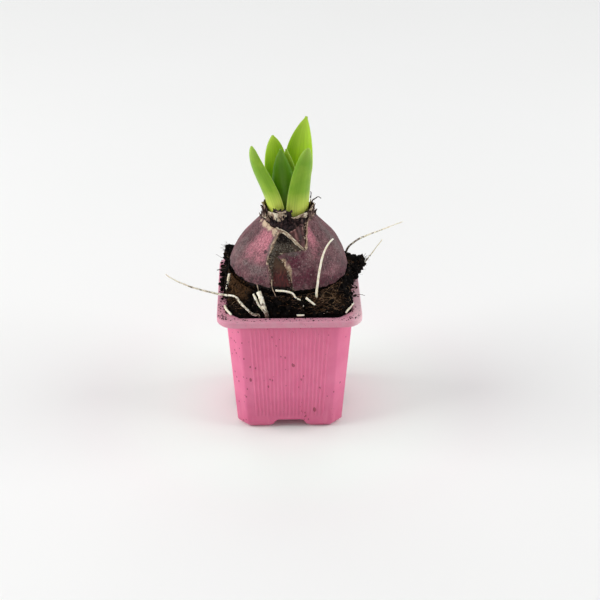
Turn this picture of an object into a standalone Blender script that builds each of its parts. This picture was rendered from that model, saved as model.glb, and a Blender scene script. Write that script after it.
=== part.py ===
"""Potted hyacinth: a sprouting bulb on a lifted root ball, in a small square nursery pot.

Blender 4.5 script, in metres, +Z up. The origin lies on the floor under the middle of the
pot, and -Y is the front. Every object is one closed body and one physical piece: the pot,
the soil, the bulb, six leaves, the flower bud between them, and the loose roots.
"""

import math

import bmesh
import bpy
from mathutils import Matrix, Vector, noise

MM = 0.001
FLAT_WITHIN = 0.001 * MM
WELD = 0.01 * MM
FULL_TURN = 2.0 * math.pi
CLEARANCE = 0.3 * MM
SIDES_OF_POT = 4

# Pot: a tapered square tub with flat corner chamfers and a flanged rim.
POT_HEIGHT = 65.5 * MM
RIM_HALF = 35.0 * MM
RIM_CORNER = 8.5 * MM
RIM_EDGE = 0.5 * MM
LIP_HEIGHT = 3.2 * MM
FLANGE_THICKNESS = 1.1 * MM
WALL = 1.0 * MM
FLOOR = 1.2 * MM
BODY_HALF_TOP = 30.8 * MM
BODY_HALF_BASE = 26.0 * MM
CHAMFER_TOP = 6.85 * MM
CHAMFER_BASE = 5.15 * MM
BASE_ROUNDING = 2.2 * MM
CORNER_POINTS = 4

# Fine upright ribs on each face of the pot.
RIBS_PER_FACE = 19
RIB_PITCH_TOP = 2.1 * MM
RIB_PITCH_BASE = 1.82 * MM
RIB_HEIGHT = 0.35 * MM
RIB_ROOT_WIDTH = 1.2 * MM
RIB_CREST_WIDTH = 0.5 * MM
RIB_BOTTOM = 6.5 * MM
RIB_TOP = 60.5 * MM

# Raised drain channels that cross under the floor and show as an arch in each face.
ARCH_HEIGHT = 4.7 * MM
ARCH_HALF_TOP = 5.5 * MM
ARCH_HALF_BASE = 11.0 * MM
ARCH_STEPS = 5
DRAIN_RADIUS = 2.5 * MM
DRAIN_OFFSET = 14.0 * MM
DRAIN_SIDES = 12

# Bulb: a turned profile of (height, radius) in millimetres, stood a little behind the middle.
BULB_CENTRE = Vector((0.0, 1.0 * MM, 0.0))
BULB_PROFILE = ((52, 6), (53, 9), (56, 15), (60, 20), (66, 25.2), (72, 27.6), (77, 28.3),
                (82, 27.9), (87, 26.4), (92, 23.6), (97, 19.4), (101, 15.8), (105, 12.9),
                (107.5, 11.9), (110, 11.9), (115, 13.1))
BULB_SIDES = 48
BULB_EQUATOR = 77.0 * MM
SKIN = 0.8 * MM
FOLD_DEPTH = 0.25 * MM
NECK_TOP = 110.0 * MM
INNER_NECK_TOP = 106.0 * MM
CUP_FLOOR = 100.0 * MM
CUP_RADIUS = 10.2 * MM
CUP_FLARE_START = 106.0 * MM
CUP_FLARE = 0.17
CUP_SIDES = 32

# Outline, in (x, z) millimetres, of the place where the papery outer skin is torn away.
TEAR_OUTLINE = ((-3.8, 118), (-3.9, 103.4), (-5.4, 100), (-9.4, 92.5), (-8.7, 84),
                (-9.2, 73), (1.8, 73), (1.6, 80), (-0.6, 87.4), (-5.0, 93.6),
                (7.0, 95.4), (8.6, 99), (9.0, 104), (10.4, 118))
TEAR_FRONT = -40.0 * MM
TEAR_BACK = -5.0 * MM

# Soil: fills the pot, and its root ball stands up out of the rim to the bulb's widest place.
SOIL_SIDES = 64
SOIL_EDGE = 65.9 * MM
SOIL_SHOULDER = 67.6 * MM
SOIL_CONTACT_FRONT = 76.5 * MM
SOIL_CONTACT_BACK = 80.0 * MM
SOIL_LEDGE = 0.9 * MM
SOIL_LUMP = 0.8 * MM
SOIL_LUMP_SIZE = 4.5 * MM
SHOULDER_RISE = 0.3
UNDERSIDE_RISE = 0.15
SOIL_RISES = (0.0, 0.08, 0.15, 0.3, 0.42, 0.56, 0.7, 0.85, 1.0)
# Clods that stand up or out at the edge: (angle, half spread) in degrees, (lift, reach) in mm.
SOIL_CLODS = ((146, 24, 8.2, 2.0), (13, 18, 7.8, 8.4), (62, 34, 5.0, 1.0), (188, 26, 3.0, 0.5),
              (318, 24, 1.5, 0.0))

# Leaves: thick channelled blades with hooded tips.
LEAF_BASE = CUP_FLOOR + CLEARANCE
LEAF_STATIONS = 12
LEAF_ACROSS = 6
LEAF_EDGE_THICKNESS = 0.7 * MM
LEAF_TIP_HALF_WIDTH = 0.8 * MM
# A blade's outline: its widest place, and the (power, root) of its taper above that.
STRAP = (0.22, 1.35, 0.48)
SPOON = (0.5, 2.3, 0.62)
SPEAR = (0.5, 1.6, 0.78)
OUTER_LEAF_RADIUS = 9.3 * MM
INNER_LEAF_RADIUS = 6.8 * MM

# Loose roots: thin tapering tubes.
ROOT_SIDES = 8
ROUTE_STEPS = 4

# Flower bud between the inner leaves.
BUD_HEIGHT = 24.0 * MM
BUD_RADIUS = 4.5 * MM
BUD_SIDES = 20
BUD_LEVELS = 12
BUD_RELIEF = 0.10

COLOURS = {
    "pot": (0.58, 0.13, 0.24),
    "soil": (0.020, 0.012, 0.008),
    "bulb": (0.17, 0.06, 0.10),
    "leaf": (0.17, 0.40, 0.03),
    "bud": (0.24, 0.42, 0.06),
    "root": (0.75, 0.70, 0.52),
}
ROUGHNESS = {"pot": 0.45, "soil": 0.95, "bulb": 0.6, "leaf": 0.4, "bud": 0.5, "root": 0.6}


def clear_scene():
    for existing in list(bpy.data.objects):
        bpy.data.objects.remove(existing, do_unlink=True)


def blend(first, second, share):
    return first + (second - first) * share


def make_material(name, kind):
    material = bpy.data.materials.new(name)
    material.use_nodes = True
    shader = material.node_tree.nodes["Principled BSDF"]
    shader.inputs["Base Color"].default_value = (*COLOURS[kind], 1.0)
    shader.inputs["Roughness"].default_value = ROUGHNESS[kind]
    shader.inputs["Metallic"].default_value = 0.0
    material.diffuse_color = (*COLOURS[kind], 1.0)
    return material


def is_warped(face):
    """Whether a face's corners leave its own plane, so that it has to be split."""
    middle = face.calc_center_median()
    return any(abs(face.normal.dot(corner.co - middle)) > FLAT_WITHIN for corner in face.verts)


def add_object(name, vertices, faces, kind=None):
    """Make an object from points and faces, with its faces turned outwards."""
    mesh = bpy.data.meshes.new(name)
    mesh.from_pydata([tuple(vertex) for vertex in vertices], [], faces)
    surface = bmesh.new()
    surface.from_mesh(mesh)
    surface.normal_update()
    warped = [face for face in surface.faces if is_warped(face)]
    bmesh.ops.triangulate(surface, faces=warped)
    bmesh.ops.recalc_face_normals(surface, faces=surface.faces)
    surface.to_mesh(mesh)
    surface.free()
    piece = bpy.data.objects.new(name, mesh)
    bpy.context.scene.collection.objects.link(piece)
    if kind:
        mesh.materials.append(make_material(name, kind))
    return piece


def loft(rings, start=None, end=None):
    """Skin a closed body over rings of equal counts, closed flat or to a point at each end."""
    count = len(rings[0])
    vertices = [point for ring in rings for point in ring]
    faces = []
    for level in range(len(rings) - 1):
        lower = level * count
        for index in range(count):
            following = (index + 1) % count
            faces.append((lower + index, lower + following,
                          lower + count + following, lower + count + index))
    for pole, first in ((start, 0), (end, (len(rings) - 1) * count)):
        rim = [first + index for index in range(count)]
        if pole is None:
            faces.append(tuple(rim))
            continue
        vertices.append(pole)
        tip = len(vertices) - 1
        faces.extend((rim[index], rim[(index + 1) % count], tip) for index in range(count))
    return vertices, faces


def combine(target, operation, tools):
    """Apply one Boolean with several tool bodies to a target, then remove the tools."""
    collection = bpy.data.collections.new(target.name + "_tools")
    bpy.context.scene.collection.children.link(collection)
    for tool in tools:
        bpy.context.scene.collection.objects.unlink(tool)
        collection.objects.link(tool)
    modifier = target.modifiers.new(operation.lower(), "BOOLEAN")
    modifier.operand_type = "COLLECTION"
    modifier.collection = collection
    modifier.operation = operation
    modifier.solver = "EXACT"
    evaluated = target.evaluated_get(bpy.context.evaluated_depsgraph_get())
    result = bpy.data.meshes.new_from_object(evaluated)
    surface = bmesh.new()
    surface.from_mesh(result)
    bmesh.ops.remove_doubles(surface, verts=surface.verts, dist=WELD)
    bmesh.ops.dissolve_degenerate(surface, edges=surface.edges, dist=WELD)
    surface.to_mesh(result)
    surface.free()
    target.modifiers.clear()
    target.data = result
    for tool in tools:
        bpy.data.objects.remove(tool, do_unlink=True)
    bpy.data.collections.remove(collection)


def tube(name, route, first_radius, last_radius, sides, kind=None):
    """A round tapering body along a route of points."""
    rings = []
    side = None
    for index, point in enumerate(route):
        before = route[max(index - 1, 0)]
        after = route[min(index + 1, len(route) - 1)]
        direction = (after - before).normalized()
        if side is None:
            side = direction.orthogonal().normalized()
        side = (side - direction * side.dot(direction)).normalized()
        up = direction.cross(side)
        radius = blend(first_radius, last_radius, index / (len(route) - 1))
        rings.append([point + radius * (math.cos(turn) * side + math.sin(turn) * up)
                      for turn in (FULL_TURN * step / sides for step in range(sides))])
    return add_object(name, *loft(rings), kind)


# ---------------------------------------------------------------------------------- the pot

def square_outline(half, corner, height, roundness):
    """Points of a square with cut corners: roundness 0 is a flat chamfer and 1 is an arc."""
    points = []
    for side in range(SIDES_OF_POT):
        turn = Matrix.Rotation(side * FULL_TURN / SIDES_OF_POT, 3, "Z")
        for step in range(CORNER_POINTS):
            share = step / (CORNER_POINTS - 1)
            flat = Vector((half - corner * share, half - corner * (1 - share), height))
            swing = share * FULL_TURN / 4
            arc = Vector((half - corner + corner * math.cos(swing),
                          half - corner + corner * math.sin(swing), height))
            points.append(turn @ flat.lerp(arc, roundness))
    return points


def body_half(height):
    """Half width of the pot's outer wall at a height."""
    return blend(BODY_HALF_BASE, BODY_HALF_TOP, height / (POT_HEIGHT - FLANGE_THICKNESS))


def body_chamfer(height):
    return blend(CHAMFER_BASE, CHAMFER_TOP, height / (POT_HEIGHT - FLANGE_THICKNESS))


def pot_shell():
    under_flange = POT_HEIGHT - FLANGE_THICKNESS
    lip_bottom = POT_HEIGHT - LIP_HEIGHT
    lip_inside = RIM_HALF - WALL
    foot = BASE_ROUNDING
    rings = [
        square_outline(body_half(0) - 0.6 * foot, CHAMFER_BASE - 0.4 * foot, 0.0, 0.0),
        square_outline(body_half(0) - 0.15 * foot, CHAMFER_BASE - 0.1 * foot, 0.35 * foot, 0.0),
        square_outline(body_half(foot), body_chamfer(foot), foot, 0.0),
        square_outline(BODY_HALF_TOP, CHAMFER_TOP, under_flange, 0.0),
        square_outline(lip_inside, RIM_CORNER - WALL, under_flange, 1.0),
        square_outline(lip_inside, RIM_CORNER - WALL, lip_bottom, 1.0),
        square_outline(RIM_HALF, RIM_CORNER, lip_bottom, 1.0),
        square_outline(RIM_HALF, RIM_CORNER, POT_HEIGHT - RIM_EDGE, 1.0),
        square_outline(RIM_HALF - RIM_EDGE, RIM_CORNER - RIM_EDGE, POT_HEIGHT, 1.0),
    ]
    return add_object("pot", *loft(rings), "pot")


def arch_profile(growth):
    """(half width, height) of the channel's S-shaped side, grown outwards by a thickness."""
    profile = []
    for step in range(ARCH_STEPS + 1):
        share = step / ARCH_STEPS
        half = blend(ARCH_HALF_BASE, ARCH_HALF_TOP, share)
        rise = 0.5 - 0.5 * math.cos(math.pi * share)
        profile.append((half + 0.7 * growth, ARCH_HEIGHT * rise + growth))
    return profile


def arch_prism(name, growth, along_x):
    reach = RIM_HALF + 5 * MM
    below = -2 * MM
    profile = arch_profile(growth)
    foot = profile[0][0]
    outline = [(foot, below)] + profile
    outline += [(-half, height) for half, height in reversed(profile)] + [(-foot, below)]
    turn = Matrix.Rotation(FULL_TURN / 4 if along_x else 0.0, 3, "Z")
    rings = [[turn @ Vector((across, end, height)) for across, height in outline]
             for end in (-reach, reach)]
    return add_object(name, *loft(rings))


def pot_interior(clearance=0.0):
    """The hollow of the pot, floor channels taken out, less a clearance all round."""
    shrink = WALL + clearance
    floor = FLOOR + clearance
    under_flange = POT_HEIGHT - FLANGE_THICKNESS
    flare = 1.1 * MM
    above = 5.0 * MM
    rings = [
        square_outline(body_half(floor) - shrink - 0.8 * MM, CHAMFER_BASE - 0.9 * MM, floor, 0.0),
        square_outline(body_half(2 * floor) - shrink, CHAMFER_BASE - 0.4 * MM, 2 * floor, 0.0),
        square_outline(body_half(under_flange) - shrink, CHAMFER_TOP - 0.55 * MM,
                       under_flange, 0.0),
        square_outline(body_half(under_flange) - shrink + flare, CHAMFER_TOP,
                       POT_HEIGHT, 0.3),
        square_outline(body_half(under_flange) - shrink + flare + above, CHAMFER_TOP + above,
                       POT_HEIGHT + above, 1.0),
    ]
    hollow = add_object("hollow", *loft(rings))
    combine(hollow, "DIFFERENCE", raised_channels(clearance))
    return hollow


def raised_channels(clearance=0.0):
    return [arch_prism("channel", FLOOR + clearance, along_x) for along_x in (False, True)]


def drain_cutters():
    cutters = []
    for side in range(SIDES_OF_POT):
        turn = Matrix.Rotation(side * FULL_TURN / SIDES_OF_POT, 3, "Z")
        centre = turn @ Vector((DRAIN_OFFSET, 0.0, 0.0))
        rings = [[centre + Vector((DRAIN_RADIUS * math.cos(FULL_TURN * step / DRAIN_SIDES),
                                   DRAIN_RADIUS * math.sin(FULL_TURN * step / DRAIN_SIDES),
                                   height)) for step in range(DRAIN_SIDES)]
                 for height in (ARCH_HEIGHT - 2 * MM, ARCH_HEIGHT + 4 * MM)]
        cutters.append(add_object("drain", *loft(rings)))
    return cutters


def rib(side, place):
    """One upright rib: place counts from the middle of a face."""
    turn = Matrix.Rotation(side * FULL_TURN / SIDES_OF_POT, 3, "Z")
    sink = 0.4 * MM
    rings = []
    for height, pitch in ((RIB_BOTTOM, RIB_PITCH_BASE), (RIB_TOP, RIB_PITCH_TOP)):
        centre = place * pitch
        face = -body_half(height)
        root = RIB_ROOT_WIDTH / 2
        crest = RIB_CREST_WIDTH / 2
        rings.append([turn @ Vector(point) for point in (
            (centre - root, face + sink, height), (centre - root, face + 0.02 * MM, height),
            (centre - crest, face - RIB_HEIGHT, height),
            (centre + crest, face - RIB_HEIGHT, height),
            (centre + root, face + 0.02 * MM, height), (centre + root, face + sink, height))])
    return add_object("rib", *loft(rings))


def make_pot():
    pot = pot_shell()
    channels = [arch_prism("channel", 0.0, along_x) for along_x in (False, True)]
    combine(pot, "DIFFERENCE", [pot_interior()] + channels + drain_cutters())
    middle = (RIBS_PER_FACE - 1) / 2
    ribs = [rib(side, place - middle) for side in range(SIDES_OF_POT)
            for place in range(RIBS_PER_FACE)]
    combine(pot, "UNION", ribs)
    return pot


# --------------------------------------------------------------------------------- the bulb

def bulb_radius(height):
    """Radius of the turned profile at a height, on a smooth curve through its points."""
    points = [(level * MM, radius * MM) for level, radius in BULB_PROFILE]
    if height <= points[0][0]:
        return points[0][1]
    if height >= points[-1][0]:
        return points[-1][1]
    index = max(step for step, point in enumerate(points[:-1]) if point[0] <= height)
    (low, radius_low), (high, radius_high) = points[index], points[index + 1]
    share = (height - low) / (high - low)
    before = points[max(index - 1, 0)]
    after = points[min(index + 2, len(points) - 1)]
    span = high - low
    slope_low = (radius_high - before[1]) / (high - before[0]) * span
    slope_high = (after[1] - radius_low) / (after[0] - low) * span
    square, cube = share * share, share ** 3
    return ((2 * cube - 3 * square + 1) * radius_low + (cube - 2 * square + share) * slope_low
            + (3 * square - 2 * cube) * radius_high + (cube - square) * slope_high)


def fold(angle, height):
    """Shallow lengthwise folds of the skin, which fade out towards the buried half."""
    strength = min(max((height - BULB_EQUATOR) / (8 * MM), 0.0), 1.0)
    waves = 0.6 * math.sin(7 * angle + 0.8) + 0.4 * math.sin(12 * angle + 2.1)
    return -FOLD_DEPTH * strength * (0.5 + 0.5 * waves)


def neck_edge(angle, top):
    """Height of the ragged papery edge round the neck; it stands higher at the sides."""
    sides = 2.2 * MM * abs(math.cos(angle)) + 0.8 * MM * math.cos(angle)
    ragged = 0.9 * MM * math.sin(9 * angle + 1.0) + 0.6 * MM * math.sin(14 * angle)
    return top + sides + ragged


def bulb_body(name, shrink, top, kind=None):
    levels = [level * MM for level, _ in BULB_PROFILE if level * MM < top - 2 * MM]
    angles = [FULL_TURN * step / BULB_SIDES for step in range(BULB_SIDES)]
    rings = []
    for height in levels:
        rings.append([BULB_CENTRE + Vector((math.cos(angle), math.sin(angle), 0.0))
                      * (bulb_radius(height) + fold(angle, height) - shrink)
                      + Vector((0.0, 0.0, height)) for angle in angles])
    edge = []
    for angle in angles:
        height = neck_edge(angle, top)
        radius = bulb_radius(height) + fold(angle, height) - shrink
        edge.append(BULB_CENTRE + Vector((radius * math.cos(angle), radius * math.sin(angle),
                                          height)))
    rings.append(edge)
    bottom = BULB_CENTRE + Vector((0.0, 0.0, levels[0] - 0.5 * MM + shrink))
    crown = BULB_CENTRE + Vector((0.0, 0.0, CUP_FLOOR + 2 * MM))
    return add_object(name, *loft(rings, bottom, crown), kind)


def make_bulb():
    bulb = bulb_body("bulb", 0.0, NECK_TOP, "bulb")
    tear = add_object("tear", *loft([[Vector((across * MM, depth, height * MM))
                                      for across, height in TEAR_OUTLINE]
                                     for depth in (TEAR_FRONT, TEAR_BACK)]))
    combine(bulb, "DIFFERENCE", [tear])
    combine(bulb, "UNION", [bulb_body("flesh", SKIN, INNER_NECK_TOP)])
    cup = []
    for height in (CUP_FLOOR, CUP_FLARE_START, NECK_TOP + 10 * MM):
        radius = CUP_RADIUS + CUP_FLARE * max(height - CUP_FLARE_START, 0.0)
        cup.append([BULB_CENTRE + Vector((radius * math.cos(FULL_TURN * step / CUP_SIDES),
                                          radius * math.sin(FULL_TURN * step / CUP_SIDES),
                                          height)) for step in range(CUP_SIDES)])
    combine(bulb, "DIFFERENCE", [add_object("cup", *loft(cup))])
    return bulb


# --------------------------------------------------------------------------------- the soil

def wall_reach(angle, height, clearance):
    """Distance from the bulb's axis to the inside of the pot's wall in a direction."""
    half = body_half(height) - WALL - clearance
    diagonal = 2 * half - body_chamfer(height) + 0.55 * MM
    across, along = math.cos(angle), math.sin(angle)
    reaches = []
    for normal_x, normal_y, limit in ((1, 0, half), (-1, 0, half), (0, 1, half), (0, -1, half),
                                      (1, 1, diagonal), (-1, 1, diagonal),
                                      (1, -1, diagonal), (-1, -1, diagonal)):
        slope = normal_x * across + normal_y * along
        if slope > 1e-6:
            reaches.append((limit - normal_y * BULB_CENTRE.y) / slope)
    return min(reaches)


def clod(angle):
    """(lift, reach) that the clods add at the soil's edge in a direction."""
    lift = reach = 0.0
    for place, spread, clod_lift, clod_reach in SOIL_CLODS:
        away = math.degrees(angle) - place
        away = abs((away + 180) % 360 - 180) / spread
        if away < 1:
            share = 1 - away * away * (3 - 2 * away)
            lift = max(lift, clod_lift * share)
            reach = max(reach, clod_reach * share)
    return lift * MM, reach * MM


def soil_contact(angle):
    """Height at which the soil meets the bulb in a direction."""
    return blend(SOIL_CONTACT_FRONT, SOIL_CONTACT_BACK, 0.5 + 0.5 * math.sin(angle))


def soil_point(angle, rise, raised=0.0):
    """A point of the mound: rise runs from 0 at the pot's wall to 1 against the bulb."""
    lift, reach = clod(angle)
    contact = soil_contact(angle)
    wall = wall_reach(angle, POT_HEIGHT - FLANGE_THICKNESS, CLEARANCE)
    inner = bulb_radius(contact) + CLEARANCE + SOIL_LEDGE
    outer = max(wall + reach, inner + 0.3 * MM)
    shoulder = SOIL_SHOULDER + lift
    if rise <= UNDERSIDE_RISE:
        share = rise / UNDERSIDE_RISE
        distance = blend(wall, blend(wall, outer, 0.45), share)
        height = blend(SOIL_EDGE, SOIL_EDGE + 1.0 * MM, share)
    elif rise <= SHOULDER_RISE:
        share = (rise - UNDERSIDE_RISE) / (SHOULDER_RISE - UNDERSIDE_RISE)
        distance = blend(blend(wall, outer, 0.45), outer, share)
        height = blend(SOIL_EDGE + 1.0 * MM, shoulder, share)
    else:
        share = (rise - SHOULDER_RISE) / (1 - SHOULDER_RISE)
        distance = blend(outer, inner, share)
        height = blend(shoulder, contact, share ** 0.8)
    outward = Vector((math.cos(angle), math.sin(angle), 0.0))
    point = BULB_CENTRE + outward * distance + Vector((0.0, 0.0, height))
    slope = Vector((outward.x, outward.y, 0.6)).normalized()
    lumpiness = SOIL_LUMP * math.sin(math.pi * min(max(rise, 0.0), 1.0)) ** 0.5
    lump = noise.noise(point / SOIL_LUMP_SIZE) + 0.5 * noise.noise(point * 2.3 / SOIL_LUMP_SIZE)
    return point + slope * (lumpiness * max(lump, -0.35) + raised)


def soil_body():
    angles = [FULL_TURN * step / SOIL_SIDES for step in range(SOIL_SIDES)]
    rings = []
    below = (FLOOR + CLEARANCE, 22 * MM, 44 * MM)
    for height in below:
        margin = 1.2 * MM if height == below[0] else CLEARANCE
        rings.append([BULB_CENTRE + Vector((math.cos(angle), math.sin(angle), 0.0))
                      * wall_reach(angle, height, margin)
                      + Vector((0.0, 0.0, height)) for angle in angles])
    for rise in SOIL_RISES:
        rings.append([soil_point(angle, rise) for angle in angles])
    for level, _ in reversed([pair for pair in BULB_PROFILE if pair[0] * MM <= BULB_EQUATOR]):
        ring = []
        for angle in angles:
            height = min(level * MM, soil_contact(angle) - 0.4 * MM)
            radius = bulb_radius(height) + CLEARANCE
            ring.append(BULB_CENTRE + Vector((radius * math.cos(angle),
                                              radius * math.sin(angle), height - CLEARANCE)))
        rings.append(ring)
    socket_bottom = BULB_CENTRE + Vector((0.0, 0.0, 50.5 * MM))
    return add_object("soil", *loft(rings, None, socket_bottom), "soil")


def make_soil():
    """The root ball, with its floor channels and a plain hole or groove for every root."""
    soil = soil_body()
    holes = [tube("hole", lengthened(route), first + CLEARANCE, last + CLEARANCE, ROOT_SIDES)
             for _, first, last, route in root_strands()]
    combine(soil, "DIFFERENCE", raised_channels(CLEARANCE) + holes)
    return soil


# -------------------------------------------------------------------------------- the roots

def at(across, along, height):
    """A point given in millimetres."""
    return Vector((across, along, height)) * MM


def on_soil(angle, rise, raised):
    """A point on the mound: an angle in degrees, a rise from 0 to 1, and mm off its face."""
    return soil_point(math.radians(angle), rise, raised * MM)


def lengthened(route):
    """A route run on past both its ends, so that a root's hole is longer than the root."""
    start = route[0] + (route[0] - route[1]).normalized() * CLEARANCE
    end = route[-1] + (route[-1] - route[-2]).normalized() * CLEARANCE
    return [start] + route + [end]


def smooth_route(points):
    """A smooth curve through the points, with a few steps to each span."""
    route = []
    for index in range(len(points) - 1):
        before = points[max(index - 1, 0)]
        start, stop = points[index], points[index + 1]
        after = points[min(index + 2, len(points) - 1)]
        for step in range(ROUTE_STEPS):
            share = step / ROUTE_STEPS
            route.append(0.5 * (2 * start + (stop - before) * share
                                + (2 * before - 5 * start + 4 * stop - after) * share ** 2
                                + (3 * start - before - 3 * stop + after) * share ** 3))
    return route + [points[-1]]


def root_strands():
    """Every strand of root: (node, first radius, last radius, route)."""
    strands = (
        ("root_left_long", 0.75, 0.3, (
            at(-14, -26.5, 62), on_soil(244, 0.12, 0.2), on_soil(239.5, 0.25, 0.4),
            on_soil(231, 0.5, 0.6), on_soil(221, 0.6, 0.7), at(-34.5, -16.5, 71.2), at(-43.1, -17, 74.1),
            at(-49.7, -18, 77.1), at(-56.1, -20, 81.6), at(-58.9, -22, 85.4))),
        ("root_right_long", 0.6, 0.28, (
            at(28.4, 14, 70), at(29.4, 15.2, 78.3), at(34, 18, 82.2), at(41.4, 23, 83.3),
            at(47.2, 27, 83.5), at(58.9, 33.5, 85.1))),
        ("root_right_thin", 0.4, 0.25, (
            at(34, 7, 69.5), at(37.5, 8, 74.5), at(41.7, 10, 79.2), at(46.8, 13, 85.3))),
        ("root_upright", 0.62, 0.42, (
            at(12.6, -23.5, 66), at(12.8, -25.4, 72), at(13, -26.9, 77.4),
            at(14.1, -24.9, 86.4), at(15.2, -21.9, 91), at(16.6, -19, 94.5),
            at(18.5, -16.7, 97.7), at(21.1, -13.4, 99.1))),
        ("root_fork", 1.15, 1.05, (
            on_soil(241, 1.0, 1.2), on_soil(246, 0.68, 0.9), on_soil(250, 0.25, 0.6),
            at(-9.6, -26, 61))),
        ("root_fork", 0.55, 0.5, (
            on_soil(237, 0.88, 0.9), on_soil(242, 0.62, 0.8), on_soil(248, 0.34, 0.4))),
        ("root_trailing", 0.5, 0.35, (
            at(-6.6, -27.9, 79), at(-2.6, -28.9, 79.2), at(1.2, -29, 78), on_soil(276, 0.88, 0.5),
            on_soil(281, 0.72, 0.3), on_soil(283, 0.5, -0.6))),
        ("root_middle", 0.62, 0.42, (on_soil(284.5, 0.84, 0.8), on_soil(292.5, 0.52, 0.6))),
        ("root_left_short", 0.8, 0.7, (on_soil(198.5, 0.99, 0.9), on_soil(197.5, 0.26, 1.0))),
        ("root_front_left", 0.7, 0.5, (at(-31.2, -20, 66.8), at(-30.4, -24, 67),
                                       at(-28, -29.2, 66.7))),
        ("root_front_right", 0.65, 0.5, (at(30.9, -19.6, 67.1), at(29.3, -23.6, 67.2),
                                         at(26.9, -28.2, 66.8))),
        ("root_small_front", 0.5, 0.4, (at(3.4, -30.4, 66.7), at(7, -30.5, 66.9))),
        ("root_small_right", 0.4, 0.3, (on_soil(295, 0.1, 0.3), on_soil(301, 0.3, 0.3))),
    )
    return [(name, first * MM, last * MM, smooth_route(points))
            for name, first, last, points in strands]


def make_roots():
    made = {}
    for name, first, last, route in root_strands():
        if name in made:
            branch = tube("branch", route, first, last, ROOT_SIDES)
            combine(made[name], "UNION", [branch])
        else:
            made[name] = tube(name, route, first, last, ROOT_SIDES, "root")


# ------------------------------------------------------------------------------- the leaves

def bezier(points, share):
    rest = 1 - share
    first, second, third, last = points
    return (first * rest ** 3 + second * 3 * rest ** 2 * share
            + third * 3 * rest * share ** 2 + last * share ** 3)


def leaf_half_width(share, base, widest, outline):
    """Half the blade's width: from the base out to the widest place, then to the tip."""
    widest_at, power, root = outline
    swell = blend(base, widest, min(max(share / widest_at, 0.0), 1.0) ** 2)
    taper = max(share - widest_at, 0.0) / (1 - widest_at)
    return max(swell * (1 - taper ** power) ** root, LEAF_TIP_HALF_WIDTH)


def make_leaf(name, facing, base_arc, tip, radius, widest, thickness, bulge, tip_facing,
              droop, sway, outline):
    """One blade: facing is the direction of its back at the base, in degrees.

    base_arc is half the arc that it wraps there. bulge and droop push its lower and upper
    control points outwards, and sway moves the upper one sideways along X, in millimetres.
    """
    direction = math.radians(facing)
    outward = Vector((math.cos(direction), math.sin(direction), 0.0))
    foot = BULB_CENTRE + outward * radius + Vector((0.0, 0.0, LEAF_BASE))
    top = Vector(tip) * MM
    rise = top.z - foot.z
    control = [foot, foot + Vector((0.0, 0.0, 0.42 * rise)) + outward * bulge * MM,
               top + Vector((sway * MM, 0.0, -0.30 * rise)) + outward * droop * MM, top]
    rings = []
    for station in range(LEAF_STATIONS + 1):
        share = (station / LEAF_STATIONS) ** 0.85
        centre = bezier(control, share)
        step = 0.01
        along = (bezier(control, min(share + step, 1.0))
                 - bezier(control, max(share - step, 0.0))).normalized()
        turned = math.radians(blend(facing, tip_facing, share))
        back = Vector((math.cos(turned), math.sin(turned), 0.0))
        back = (back - along * back.dot(along)).normalized()
        side = along.cross(back)
        base_half = radius * math.sin(math.radians(base_arc))
        half_width = leaf_half_width(share, base_half, widest * MM, outline)
        half_arc = math.radians(blend(base_arc, 62, share))
        curve = half_width / math.sin(half_arc)
        middle = centre - back * curve
        thick = max(blend(thickness, 0.55 * thickness, share) * MM, LEAF_EDGE_THICKNESS)
        outer, inner = [], []
        for index in range(LEAF_ACROSS + 1):
            place = 2 * index / LEAF_ACROSS - 1
            angle = place * half_arc
            arm = back * math.cos(angle) + side * math.sin(angle)
            here = blend(thick, LEAF_EDGE_THICKNESS, abs(place) ** 1.5)
            outer.append(middle + arm * curve)
            inner.append(middle + arm * max(curve - here, 0.12 * MM))
        rings.append(outer + inner[::-1])
    return add_object(name, *loft(rings), "leaf")


def make_leaves():
    outer, inner = OUTER_LEAF_RADIUS, INNER_LEAF_RADIUS
    for row in (
            ("leaf_front_left", 216, 46, (-17.3, -6, 143.9), outer, 6.6, 2.1, -1.0, 228, 0.5,
             -1.3, STRAP),
            ("leaf_front_right", 309, 43, (9.4, -9, 144.0), outer, 6.8, 2.1, 0.0, 290, 0.5,
             -2.0, STRAP),
            ("leaf_back_right", 38, 41, (8.9, 8, 153.2), outer, 7.9, 2.1, 0.0, 80, 1.5,
             -4.5, SPEAR),
            ("leaf_back_left", 127, 34, (-7.4, 9, 143.3), outer, 6.4, 2.1, 0.0, 112, 2.0,
             0.2, SPOON),
            ("leaf_inner_front", 262, 74, (-3.6, -1.5, 140.4), inner, 5.8, 1.7, 0.0, 268, 1.5,
             0.0, SPEAR),
            ("leaf_inner_back", 80, 74, (-0.7, 3, 138.7), inner, 5.8, 1.7, 0.0, 80, 1.5,
             0.0, SPEAR)):
        make_leaf(*row)


def make_bud():
    """The flower spike while it is still a bud, covered in close florets."""
    rings = []
    for level in range(BUD_LEVELS):
        share = level / (BUD_LEVELS - 1)
        height = CUP_FLOOR + CLEARANCE + share * BUD_HEIGHT
        girth = BUD_RADIUS * math.sin(math.pi * (0.2 + 0.76 * share)) ** 0.6
        ring = []
        for step in range(BUD_SIDES):
            angle = FULL_TURN * step / BUD_SIDES
            florets = math.sin(5 * angle + 9 * share) * math.sin(5 * angle - 16 * share)
            radius = girth * (1 - BUD_RELIEF * (0.5 + 0.5 * florets))
            ring.append(BULB_CENTRE + Vector((radius * math.cos(angle),
                                              radius * math.sin(angle), height)))
        rings.append(ring)
    return add_object("flower_bud", *loft(rings), "bud")


clear_scene()
make_pot()
make_bulb()
make_soil()
make_roots()
make_leaves()
make_bud()
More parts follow.
